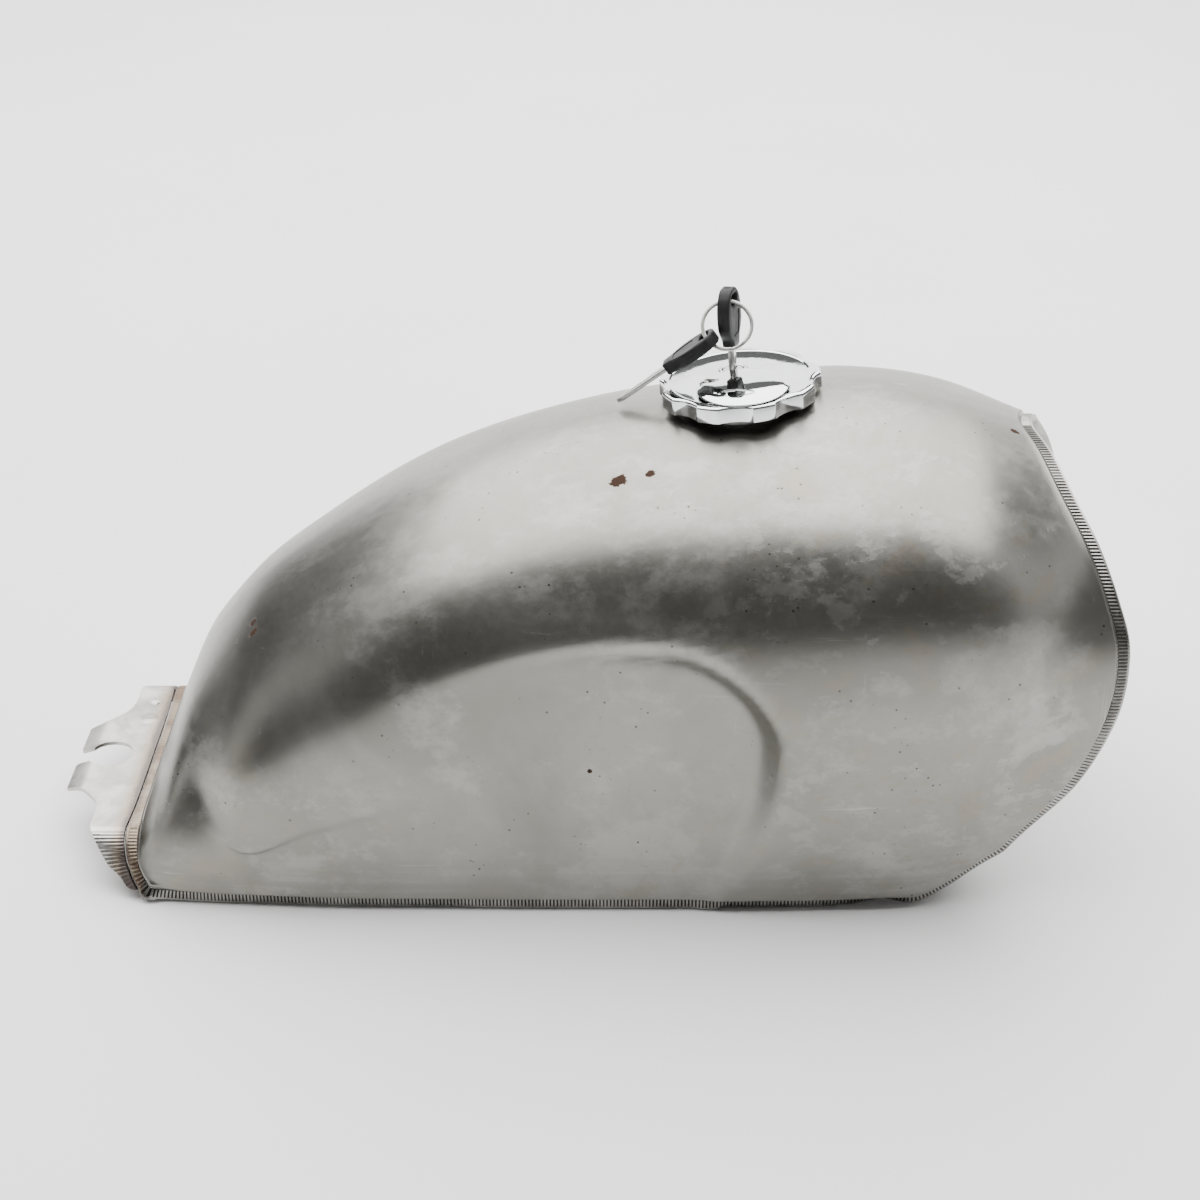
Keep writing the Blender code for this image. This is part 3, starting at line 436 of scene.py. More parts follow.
def bracket_steel():
    """Worn bright plate with brown heat tint along its weld and painted shade at its root."""
    n = Nodes("bracket_steel")
    cloud = n.noise(40, 7, 0.66, distort=0.5)
    fine = n.noise(420, 5, 0.7)
    lines = n.noise(120, 5, 0.6, place=n.stretched((0.1, 1.4, 1)))
    colour = n.mix(n.ramp(cloud, 0.38, 0.62), (0.40, 0.385, 0.355), (0.56, 0.55, 0.53))
    colour = n.mix(n.ramp(lines, 0.62, 0.72, 0, 0.4), colour, (0.66, 0.655, 0.64))
    colour = n.mix(n.ramp(fine, 0.6, 0.75, 0, 0.5), colour, (0.20, 0.185, 0.165))
    from_weld = n.math("ADD", n.coordinate("X"), n.math("MULTIPLY", cloud, 0.008))
    colour = n.mix(n.ramp(from_weld, -0.236, -0.229, 0, 0.55), colour, (0.30, 0.20, 0.11))
    # Painted shade: a dark band at the plate's root, where the groove by the flange lies in
    # shadow.
    colour = n.mix(n.ramp(from_weld, -0.2305, -0.2265, 0, 0.8), colour, (0.10, 0.085, 0.085))
    rusty = n.ramp(n.noise(60, 6, 0.7), 0.66, 0.72)
    colour = n.mix(n.math("MULTIPLY", rusty, 0.6), colour, (0.16, 0.08, 0.04))
    rough = n.math("ADD", n.ramp(cloud, 0.3, 0.7, 0.24, 0.42), n.ramp(fine, 0.5, 0.75, 0, 0.1))
    return n.finish(colour, rough, n.bump(n.math("ADD", fine, lines), 0.15, 0.0002))


STEEL = bare_steel()
SEAM = seam_steel("seam_steel", (0.40, 0.39, 0.37), (0.24, 0.232, 0.215))
# Near-black copy of the seam steel: painted shade for the gap at the seam's root and the valleys
# between its ribs.
SEAM_PAINTED_SHADE = seam_steel("seam_painted_shade", (0.060, 0.056, 0.05), (0.022, 0.020, 0.018))
PAN = plain_steel("pan_steel", (0.46, 0.45, 0.42), 0.38, 0.52, 25)
ZINC_WORN = bracket_steel()
ZINC = plain_steel("plated_steel", (0.66, 0.66, 0.63), 0.24, 0.36)
BRASS = plain_steel("brass", (0.70, 0.53, 0.25), 0.25, 0.4)
CHROME = chrome()
PLASTIC = plastic()
RUBBER = rubber()


# ---- building pieces ----
def new_object(name, mesh, material):
    thing = bpy.data.objects.new(name, mesh)
    bpy.context.scene.collection.objects.link(thing)
    mesh.materials.append(material)
    return thing


def from_faces(name, points, faces, material, placed=WORLD, flat_angle=35):
    """Object from points in millimetres, its faces turned outwards, shaded smooth."""
    mesh = bpy.data.meshes.new(name)
    mesh.from_pydata([placed @ (Vector(p) * MM) for p in points], [], faces)
    tidy(mesh, flat_angle)
    return new_object(name, mesh, material)


def tidy(mesh, flat_angle=35):
    shape = bmesh.new()
    shape.from_mesh(mesh)
    bmesh.ops.recalc_face_normals(shape, faces=shape.faces)
    limit = math.radians(flat_angle)
    for face in shape.faces:
        face.smooth = True
    for edge in shape.edges:
        edge.smooth = len(edge.link_faces) == 2 and edge.calc_face_angle(0) < limit
    shape.to_mesh(mesh)
    shape.free()


def modified(thing, flat_angle=35):
    """Put the object's modifiers into its mesh."""
    bpy.context.view_layer.update()
    done = thing.evaluated_get(bpy.context.evaluated_depsgraph_get())
    mesh = bpy.data.meshes.new_from_object(done)
    thing.modifiers.clear()
    thing.data = mesh
    tidy(mesh, flat_angle)
    return thing


def cut(thing, tool, operation="DIFFERENCE"):
    """Boolean with a tool object, which is removed afterwards."""
    step = thing.modifiers.new("cut", "BOOLEAN")
    step.operation = operation
    step.solver = "EXACT"
    step.object = tool
    modified(thing)
    bpy.data.objects.remove(tool)
    return thing


def bevelled(thing, width, segments=2, angle=30, flat_angle=35):
    step = thing.modifiers.new("bevel", "BEVEL")
    step.width = width * MM
    step.segments = segments
    step.limit_method = "ANGLE"
    step.angle_limit = math.radians(angle)
    step.harden_normals = False
    return modified(thing, flat_angle)


def grid_faces(long, round_about):
    faces = []
    for i in range(long):
        for j in range(round_about):
            a = i * (round_about + 1) + j
            b = a + round_about + 1
            faces.append((a, a + 1, b + 1, b))
    return faces


def border_order(long, round_about):
    """Indices of the grid's border in the same order as border()."""
    wide = round_about + 1
    order = list(range(wide))
    order += [i * wide + round_about for i in range(1, long)]
    order += [long * wide + j for j in range(round_about, -1, -1)]
    return order


def shell_of_revolution(name, profile, material, placed, steps=96, flat_angle=35):
    """Closed turned body from (radius, height) points; radius 0 closes it on the axis."""
    points = []
    faces = []
    rings = []
    for radius, height in profile:
        if radius < 1e-6:
            rings.append([len(points)])
            points.append((0, 0, height))
            continue
        ring = []
        for step in range(steps):
            angle = 2 * math.pi * step / steps
            ring.append(len(points))
            points.append((radius * math.cos(angle), radius * math.sin(angle), height))
        rings.append(ring)
    closed = profile[0][0] > 1e-6 or profile[-1][0] > 1e-6
    pairs = list(zip(rings, rings[1:] + ([rings[0]] if closed else [])))
    for low, high in pairs:
        for step in range(steps):
            following = (step + 1) % steps
            corners = [low[step % len(low)], low[following % len(low)],
                       high[following % len(high)], high[step % len(high)]]
            kept = []
            for corner in corners:
                if corner not in kept:
                    kept.append(corner)
            if len(kept) > 2:
                faces.append(kept)
    return from_faces(name, points, faces, material, placed, flat_angle)


def extruded(name, outline, low, high, material, placed, flat_angle=35):
    """Straight body over a closed outline of (x, y) points, from z low to z high."""
    count = len(outline)
    points = [(x, y, low) for x, y in outline] + [(x, y, high) for x, y in outline]
    faces = [tuple(range(count)), tuple(range(2 * count - 1, count - 1, -1))]
    for i in range(count):
        j = (i + 1) % count
        faces.append((i, j, count + j, count + i))
    return from_faces(name, points, faces, material, placed, flat_angle)


# ---- tank skin ----
def ground_weld(grid):
    """Faint flat ridge along the crown, where the two halves are welded and ground."""
    raised = grid.copy()
    away = np.clip(1 - grid[..., 1] / 5, 0, 1)
    along = grid[..., 0]
    ripple = 0.5 + 0.5 * np.sin(along * 0.9) * np.sin(along * 0.37 + 1)
    raised[..., 2] += smooth(away) * (0.12 + 0.12 * ripple)
    return raised


def curled(grid, rows):
    edge, out, inward, curl = seam_frames(grid)
    strips = []
    for away, share, plain in rows:
        strips.append(edge + out * away + inward * (curl * share + plain))
    return strips


def two_halves(name, points, faces, merge_within, levelled=True):
    """Mesh of the left half's points and faces, with its mirror image sewn on at Y = 0."""
    count = len(points)
    both = np.concatenate([points, points * np.array([1, -1, 1])])
    far_faces = [tuple(index + count for index in face[::-1]) for face in faces]
    mesh = bpy.data.meshes.new(name)
    mesh.from_pydata([WORLD @ (Vector(p) * MM) for p in both], [], faces + far_faces)
    shape = bmesh.new()
    shape.from_mesh(mesh)
    middle = [vert for vert in shape.verts if abs(vert.co.y) < merge_within]
    if levelled:
        for vert in middle:
            vert.co.y = 0
    bmesh.ops.remove_doubles(shape, verts=middle, dist=0.00005)
    shape.to_mesh(mesh)
    shape.free()
    return mesh


def with_fringes(points, faces, inner, fringes):
    """Strips of faces sewn one after another to a border given by its point indices."""
    for fringe in fringes:
        outer = list(range(len(points), len(points) + len(inner)))
        points += list(fringe)
        for step in range(len(inner) - 1):
            faces.append((inner[step], outer[step], outer[step + 1], inner[step + 1]))
        inner = outer
    return np.array(points), faces


def make_tank():
    grid = skin_grid(GRID_LONG, GRID_ROUND)
    rows = [(0.35, 0, 0.05), (0.7, 0, 0.2), (1.0, 0, 0.42), (1.25, 0, 0.75),
            (1.42, 0, 1.2), (1.5, 1, -0.9), (1.62, 1, -0.45), (1.9, 1, -0.12),
            (2.4, 1, 0)]
    points, faces = with_fringes(list(ground_weld(grid).reshape(-1, 3)),
                                 grid_faces(GRID_LONG, GRID_ROUND),
                                 border_order(GRID_LONG, GRID_ROUND), curled(grid, rows))
    points[:, 2] = np.maximum(points[:, 2], 0.8)
    points[:, 1] = np.maximum(points[:, 1], 0)
    mesh = two_halves("tank_skin", points, faces, 0.00005, levelled=False)
    tidy(mesh, 50)
    tank = new_object("tank_skin", mesh, STEEL)
    sheet = tank.modifiers.new("sheet", "SOLIDIFY")
    sheet.thickness = SHEET * MM
    sheet.offset = -1
    modified(tank, 50)
    hole = shell_of_revolution("hole", [(0, -40), (NECK_OUT + 0.4, -40), (NECK_OUT + 0.4, 12),
                                        (0, 12)], STEEL, cap_frame())
    cut(tank, hole)
    tidy(tank.data, 50)
    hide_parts("left_shell", "right_shell")
    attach(tank, "tank")


# ---- seam flange: two sheets pressed together by a roller welder ----
SEAM_STEP = 0.45
SEAM_PITCH = 1.8
RIB_HEIGHT = 0.34
VALLEY = 0.10


def loop_path():
    """Seam curve of the left half with its directions, evenly spaced, rear to front."""
    edge, out, inward, curl = seam_frames(skin_grid(GRID_LONG, GRID_ROUND))
    root = edge + out * 2.0 + inward * curl
    length = np.concatenate([[0], np.cumsum(np.linalg.norm(np.diff(root, axis=0), axis=1))])
    count = int(length[-1] / SEAM_STEP)
    even = np.linspace(0, length[-1], count + 1)
    tables = []
    for values in (root, out, inward):
        tables.append(np.stack([np.interp(even, length, values[:, axis])
                                for axis in range(3)], axis=1))
    return even, tables[0], unit(tables[1]), unit(tables[2])


def rib_height(length):
    wave = 0.5 + 0.5 * np.cos(2 * math.pi * length / SEAM_PITCH)
    return RIB_HEIGHT * wave**1.5


def make_seam():
    even, root, out, inward = loop_path()
    height = rib_height(even)
    profile = [(-1.6, 0, 0), (0.1, 0, 0), (0.5, 0, 0.8), (1.2, 0, 1), (4.0, 0, 1),
               (4.7, 0, 0.8), (5.1, 0, 0), (5.95, 0.05, 0), (6.1, 0.35, 0),
               (6.1, 1.15, 0), (6.35, 1.25, 0), (6.6, 1.35, 0), (6.7, 1.6, 0),
               (6.7, 2.4, 0), (6.5, 2.6, 0), (-1.6, 2.6, 0)]
    wander = 0.12 * np.sin(even / 23) + 0.06 * np.sin(even / 7.1)
    rows = []
    for away, deep, rib in profile:
        reach = away + (wander if away > 5.5 else np.zeros(len(even)))
        rows.append(root + out * reach[:, None] + inward * (deep - rib * height)[:, None])
    body = np.stack(rows, axis=1)
    steps, around = body.shape[:2]
    points = body.reshape(-1, 3)
    points[:, 2] = np.maximum(points[:, 2], 0.05)
    faces = []
    for step in range(steps - 1):
        for turn in range(around):
            following = (turn + 1) % around
            a = step * around + turn
            b = step * around + following
            faces.append((a, b, b + around, a + around))
    mesh = two_halves("seam_weld", points, faces, 0.0004)
    tidy(mesh, 55)
    seam = new_object("seam_weld", mesh, SEAM)
    mesh.materials.append(SEAM_PAINTED_SHADE)
    # Faces at the seam's root and in the valleys between ribs get the near-black copy: painted
    # shade in the gap and the valleys.
    for face in mesh.polygons:
        step, turn = divmod(face.index % len(faces), around)
        if step < steps - 1 and (turn < 2 or (turn < 6 and height[step] < VALLEY)):
            face.material_index = 1
    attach(seam, "tank")


# ---- pan under the tank ----
def tunnel_row(x, foot):
    roof = np.interp(x, TUNNEL_X, TUNNEL_ROOF)
    low = foot[2]
    shoulder = max(roof - 13, low + (roof - low) * 0.4)
    marks = [(x, 0, roof), (x, TUNNEL_HALF * 0.6, roof), (x, TUNNEL_HALF - 4, shoulder),
             (x, TUNNEL_HALF, low + (roof - low) * 0.12), (x, TUNNEL_HALF + 7, low),
             tuple(foot)]
    return np.array(marks, float)


def make_pan():
    """The pressed underside with its frame tunnel: one sheet given its thickness."""
    long, round_about = 52, 33
    grid = skin_grid(long, round_about)
    edge, out, inward, curl = seam_frames(grid)
    root = edge + out * CURL_OUT + inward * (curl + SHEET + PAN_GAP)
    inner = root - out * 1.5 + inward * 2.6
    pan = np.zeros_like(grid)
    for place, index in enumerate(border_order(long, round_about)):
        pan[index // (round_about + 1), index % (round_about + 1)] = inner[place]
    across = np.linspace(0, 1, round_about + 1)
    for row in range(1, long):
        foot = pan[row, -1]
        x = PAN_REAR + (PAN_FRONT - PAN_REAR) * (row - 1) / (long - 2)
        marks = tunnel_row(x, foot)
        marks[-1, 1] = foot[1]
        line = [np.interp(across, TUNNEL_MARKS, marks[:, axis]) for axis in range(3)]
        pan[row] = np.stack(line, axis=1)
    pan[:, 0, 1] = 0
    points, faces = with_fringes(list(pan.reshape(-1, 3)), grid_faces(long, round_about),
                                 border_order(long, round_about), [root + inward * 0.2])
    points[:, 2] = np.maximum(points[:, 2], 0.1)
    mesh = two_halves("pan_sheet", points, faces, 0.0002)
    tidy(mesh, 40)
    pan_thing = new_object("pan_sheet", mesh, PAN)
    sheet = pan_thing.modifiers.new("sheet", "SOLIDIFY")
    sheet.thickness = SHEET * MM
    sheet.offset = 0
    modified(pan_thing, 40)
    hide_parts("tunnel_pan")
    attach(pan_thing, "tank")


# ---- rear bracket ----
PLATE = 2.0
PLATE_GAP = 1.05
SLOT_OUT = 23
SLOT_RADIUS = 12.25
MOUTH_HALF = 6.7
BRACKET_SIDE = [(40.5, 30), (32, 34), (25.6, 40.6), (21.4, 46.7), (19.5, 54), (19, 62),
                (18.5, 70), (16, 76), (13, 83), (10, 90), (5, 97), (3.5, 102), (0, 105)]
TIP_BEND = 32
TIP_SLOPE = 0.35
RIBS_START = 74
RIBS_REACH = 17
PLATE_RIB = 0.28
PLATE_BOSS_AT = (9, 36)
PLATE_BOSS_HALF = 3.4
PLATE_BOSS_HEIGHT = 0.45
DIMPLE_AT = (8.5, 53)
DIMPLE_DEPTH = 0.9


def arc(middle_x, middle_y, radius, first, last, count):
    points = []
    for angle in np.linspace(math.radians(first), math.radians(last), count):
        points.append((middle_x + radius * math.cos(angle),
                       middle_y + radius * math.sin(angle)))
    return points


def bracket_outline():
    """Outline of the flat bracket: curved sides, square tips and the open round slot."""
    side = np.array(BRACKET_SIDE, float)
    length = np.concatenate([[0], np.cumsum(np.linalg.norm(np.diff(side, axis=0), axis=1))])
    fine = spline(length, side, np.linspace(0, length[-1], 60))
    turn = math.degrees(math.asin(MOUTH_HALF / SLOT_RADIUS))
    slot = arc(SLOT_OUT, 0, SLOT_RADIUS, turn, 360 - turn, 61)
    tip = BRACKET_SIDE[0][0]
    upper = [tuple(point) for point in fine]
    lower = [(away, -along) for away, along in reversed(upper)]
    corner = 1.6
    ends = [(tip, -MOUTH_HALF - corner), (tip - 0.5, -MOUTH_HALF - 0.4),
            (tip - corner, -MOUTH_HALF)]
    return upper + lower + ends + slot[::-1] + [(x, -y) for x, y in reversed(ends)]


def bracket_relief(away, along):
    """Height of the pressed details of the plate: ribs, a low round boss and a dimple."""
    height = 0.0
    step = abs(along)
    if step > RIBS_START and away < RIBS_REACH:
        height += PLATE_RIB * (0.5 + 0.5 * math.cos(2 * math.pi * step / SEAM_PITCH)) ** 1.5
    boss = math.hypot(away - PLATE_BOSS_AT[0], along - PLATE_BOSS_AT[1])
    height += PLATE_BOSS_HEIGHT * math.exp(-((boss / PLATE_BOSS_HALF) ** 4))
    dimple = math.hypot((away - DIMPLE_AT[0]) / 2.2, (along - DIMPLE_AT[1]) / 3.2)
    height -= DIMPLE_DEPTH * max(0.0, 1 - dimple**2)
    return height


def make_bracket():
    grid = skin_grid(GRID_LONG, GRID_ROUND)
    edge, out, inward, curl = seam_frames(grid)
    lip = edge + out * (CURL_OUT + FLANGE) + inward * curl
    lengths = np.concatenate([[0], np.cumsum(np.linalg.norm(np.diff(lip, axis=0), axis=1))])
    flat = extruded("bracket_plate", bracket_outline(), 0, PLATE, ZINC_WORN, Matrix())
    shape = bmesh.new()
    shape.from_mesh(flat.data)
    cuts = [((0, along, 0), (0, 1, 0)) for along in np.arange(-66, 67, 1.1)]
    cuts += [((0, side * along, 0), (0, 1, 0)) for along in np.arange(66.45, 105, 0.45)
             for side in (-1, 1)]
    cuts += [((away, 0, 0), (1, 0, 0)) for away in np.arange(1.0, 40.5, 1.0)]
    for at, normal in cuts:
        pieces = shape.verts[:] + shape.edges[:] + shape.faces[:]
        bmesh.ops.bisect_plane(shape, geom=pieces, dist=0.000001,
                               plane_co=Vector(at) * MM, plane_no=normal)
    for vert in shape.verts:
        away, along, height = vert.co / MM
        step = abs(along)
        places = []
        for values in (lip, out, inward):
            places.append(np.array([np.interp(step, lengths, values[:, axis])
                                    for axis in range(3)]))
        bend = max(away - TIP_BEND + 1.2, 0)
        droop = TIP_SLOPE * bend * bend / (bend + 2.4)
        lift = bracket_relief(away, along)
        depth = PLATE - height - lift + droop
        place = places[0] + places[1] * (away + PLATE_GAP) + places[2] * depth
        place[1] *= 1 if along >= 0 else -1
        vert.co = WORLD @ (Vector(place) * MM)
    bmesh.ops.recalc_face_normals(shape, faces=shape.faces)
    shape.to_mesh(flat.data)
    shape.free()
    tidy(flat.data, 40)
    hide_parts("rear_mount_bracket")
    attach(flat, "tank")


# ---- cap ----
CAP_RADIUS = 40.5
CAP_LOW = -8.5
FLUTES = 9
FLUTE_FIRST = -46
FLUTE_RADIUS = 9.5
FLUTE_DEPTH = 2.9
DISC_AT = (1, -16)
PIVOT = (-17.5, -9.3)
LOCK_AT = (-2.5, 11)
LOCK_RADIUS = 7.0
LOCK_LOW = -27
BOLT_LOW = -25.2
KEY_TURN = 20
BLADE_LOW = -18
DECK_LOW = -2.8
BOSS_LOW = -12.2
SCREW_PLACES = [(-9.5, -8), (9.5, -8)]
SCREW_SHANK = 1.6


def flute(angle):
    """Depth of the hollow flutes at an angle in degrees: wide flats, shallow hollows."""
    pitch = 360 / FLUTES
    offset = (angle - FLUTE_FIRST + 90) % pitch
    offset = min(offset, pitch - offset)
    across = math.radians(offset) * CAP_RADIUS
    half = FLUTE_RADIUS - 1.2
    if across > half:
        return 0.0
    round_part = 1 - (across / half) ** 2
    return FLUTE_DEPTH * round_part**0.8


def cap_ring(radius_in, height, steps=432):
    """Ring of points, drawn in from the fluted outline by radius_in."""
    ring = []
    for step in range(steps):
        angle = 360 * step / steps
        reach = CAP_RADIUS - flute(angle) - radius_in
        ring.append((reach * math.cos(math.radians(angle)),
                     reach * math.sin(math.radians(angle)), height))
    return ring


def round_ring(radius, height, steps=432):
    return [(radius * math.cos(2 * math.pi * s / steps),
             radius * math.sin(2 * math.pi * s / steps), height) for s in range(steps)]


def make_cap():
    rings = [cap_ring(1.6, CAP_LOW + 0.02), cap_ring(0.5, CAP_LOW + 0.05),
             cap_ring(0.12, CAP_LOW + 0.4), cap_ring(0.1, CAP_LOW + 1.0),
             cap_ring(0.1, -1.5), cap_ring(0.2, -1.0), cap_ring(0.5, -0.5),
             cap_ring(0.95, -0.2), cap_ring(1.6, -0.06), cap_ring(2.6, -0.02),
             round_ring(35.4, -0.02), round_ring(34.9, -0.06), round_ring(34.5, -0.22),
             round_ring(34.1, -0.27), round_ring(20, -0.22), round_ring(8, -0.2)]
    under = [round_ring(18.6, BOSS_LOW), round_ring(19.2, BOSS_LOW + 0.5),
             round_ring(19.2, DECK_LOW - 0.4), round_ring(19.6, DECK_LOW),
             round_ring(32.0, DECK_LOW), round_ring(32.5, DECK_LOW - 0.5),
             round_ring(32.5, CAP_LOW + 0.5), round_ring(33.1, CAP_LOW + 0.02)]
    rings = under + rings
    points = [point for ring in rings for point in ring]
    count = len(rings[0])
    faces = []
    for level in range(len(rings) - 1):
        for step in range(count):
            a = level * count + step
            b = level * count + (step + 1) % count
            faces.append((a, b, b + count, a + count))
    top = len(points)
    points += [(0, 0, -0.2), (0, 0, BOSS_LOW)]
    last = (len(rings) - 1) * count
    for step in range(count):
        following = (step + 1) % count
        faces.append((last + step, last + following, top))
        faces.append((following, step, top + 1))
    cap = from_faces("cap_chrome", points, faces, CHROME, cap_frame(), 28)
    pockets = [(LOCK_AT, LOCK_RADIUS + 0.35, BOSS_LOW - 2, 4), (PIVOT, 1.9, -2.6, 4)]
    pockets += [(at, SCREW_SHANK + 0.35, BOSS_LOW - 1, -5) for at in SCREW_PLACES]
    for number, (at, radius, low, high) in enumerate(pockets):
        tool = [(0, low), (radius, low), (radius, high), (0, high)]
        cut(cap, shell_of_revolution(f"pocket_{number}", tool, CHROME, cap_frame(*at), 64))
    tidy(cap.data, 28)
    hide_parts("cap_body")
    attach(cap, "cap")


def make_lock():
    """Housing with a rolled collar, and the barrel with its keyway."""
    collar = [(5.5, LOCK_LOW), (5.5, -0.35), (5.7, 0.0), (6.0, 0.1), (6.7, 0.1),
              (6.93, -0.02), (7.0, -0.3), (7.0, LOCK_LOW + 0.4), (6.6, LOCK_LOW)]
    housing = shell_of_revolution("lock_collar", collar, CHROME, cap_frame(*LOCK_AT), 72)
    window = [(0, -3.3), (LOCK_RADIUS + 4, -3.3), (LOCK_RADIUS + 4, 3.3), (0, 3.3)]
    cut(housing, extruded("window", window, BOLT_LOW - 0.4, BOLT_LOW + 3.4, CHROME,
                          lock_frame(90)))
    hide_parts("lock_housing")
    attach(housing, "cap")
    low = BOLT_LOW + 3.6
    face = [(0, -0.15), (4.5, -0.15), (4.9, -0.28), (5.15, -0.6), (5.15, low), (0, low)]
    barrel = shell_of_revolution("lock_face", face, ZINC, cap_frame(*LOCK_AT), 72)
    keyway = [(-4.0, -1.35), (4.0, -1.35), (4.0, 1.35), (1.2, 1.35), (0.9, 1.7), (-0.9, 1.7),
              (-1.2, 1.35), (-4.0, 1.35)]
    cut(barrel, extruded("keyway", keyway, BLADE_LOW - 0.6, 2, ZINC, key_frame()))
    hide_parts("lock_barrel")
    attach(barrel, "barrel")


def lock_frame(turn):
    return cap_frame(*LOCK_AT) @ Matrix.Rotation(math.radians(turn), 4, "Z")


def key_frame():
    """Key axes: X across the key's width, Z up the key, at the mouth of the keyway."""
    return lock_frame(90 - KEY_TURN)


def make_cover():
    """Domed cover disc with a turned rim and the sunk three-cornered seat of its rivet."""
    x, y = DISC_AT
    profile = [(0, 3.9), (4, 3.88), (8, 3.8), (12, 3.62), (15.5, 3.32), (18, 2.98),
               (19.6, 2.66), (20.3, 2.44), (20.9, 2.1), (21.6, 1.72), (22.3, 1.4),
               (22.75, 1.12), (22.98, 0.85), (22.98, 0.6), (22.8, 0.42), (22.4, 0.36),
               (0, 0.36)]
    disc = shell_of_revolution("cover_disc", profile, CHROME, cap_frame(x, y), 144, 24)
    pivot = Vector((PIVOT[0] - x, PIVOT[1] - y))
    along = math.atan2(pivot.y, pivot.x)
    reach = pivot.length
    notch = [(reach - 7.3, -0.5), (reach - 7.5, 0), (reach - 7.3, 0.5), (reach + 6, 7.5),
             (reach + 6, -7.5)]
    place = cap_frame(x, y) @ Matrix.Rotation(along, 4, "Z")
    cut(disc, extruded("notch", notch, 1.5, 6, CHROME, place))
    cut(disc, shell_of_revolution("pivot", [(0, -1), (1.8, -1), (1.8, 6), (0, 6)], CHROME,
                                  cap_frame(*PIVOT), 32))
    bevelled(disc, 0.22, 2, 40, 24)
    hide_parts("keyhole_cover")
    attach(disc, "cover")


def make_rivet():
    profile = [(0, 2.9), (0.7, 2.86), (1.4, 2.72), (2.0, 2.45), (2.45, 2.12), (2.6, 1.86),
               (1.45, 1.86), (1.45, -1.6), (0, -1.6)]
    rivet = shell_of_revolution("rivet_head", profile, ZINC, cap_frame(*PIVOT), 40)
    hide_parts("cover_rivet")
    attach(rivet, "cap")


# ---- keys ----
HEAD_LOW = 12
HEAD_HIGH = 42.5
HEAD_HALF = 10.5
HEAD_THICK = 6.4
HOLE_AT = 36.6
BLADE_HALF = 3.6
BLADE_THICK = 2.0
RING_RADIUS = 12.1
RING_WIRE = 0.95
RING_LEAN = 36
RING_SIDE = -1.6
SPARE_ON_RING = 213
SPARE_TIP = (-59, 3.6, -7.2)
SPARE_TILT = -0.14
SPARE_SLIP = 0.9
TOOTH_DEPTHS = [1.4, 2.2, 0.9, 1.8, 1.2]


def upright(place):
    """Turns a flat outline's height into the key's own length."""
    return place @ Matrix.Rotation(math.radians(90), 4, "X")


def rounded(corners, radius, steps=4):
    """Outline with each corner replaced by a short curve."""
    outline = []
    count = len(corners)
    for index, corner in enumerate(corners):
        here = Vector(corner)
        before = Vector(corners[index - 1]) - here
        after = Vector(corners[(index + 1) % count]) - here
        reach = min(radius, before.length * 0.45, after.length * 0.45)
        first = here + before.normalized() * reach
        last = here + after.normalized() * reach
        for step in range(steps + 1):
            t = step / steps
            spot = first * (1 - t) ** 2 + here * 2 * t * (1 - t) + last * t * t
            outline.append((spot.x, spot.y))
    return outline


def head_outline():
    width, low, high = HEAD_HALF, HEAD_LOW, HEAD_HIGH
    half = [(4.4, low), (5.6, low + 5), (8.6, low + 8.5), (width, low + 12.5),
            (width, high - 12), (width - 0.8, high - 7.5), (width - 2.7, high - 3.8),
            (width - 5.6, high - 1), (width - 8, high)]
    return rounded(half + [(-x, z) for x, z in reversed(half)], 1.6)


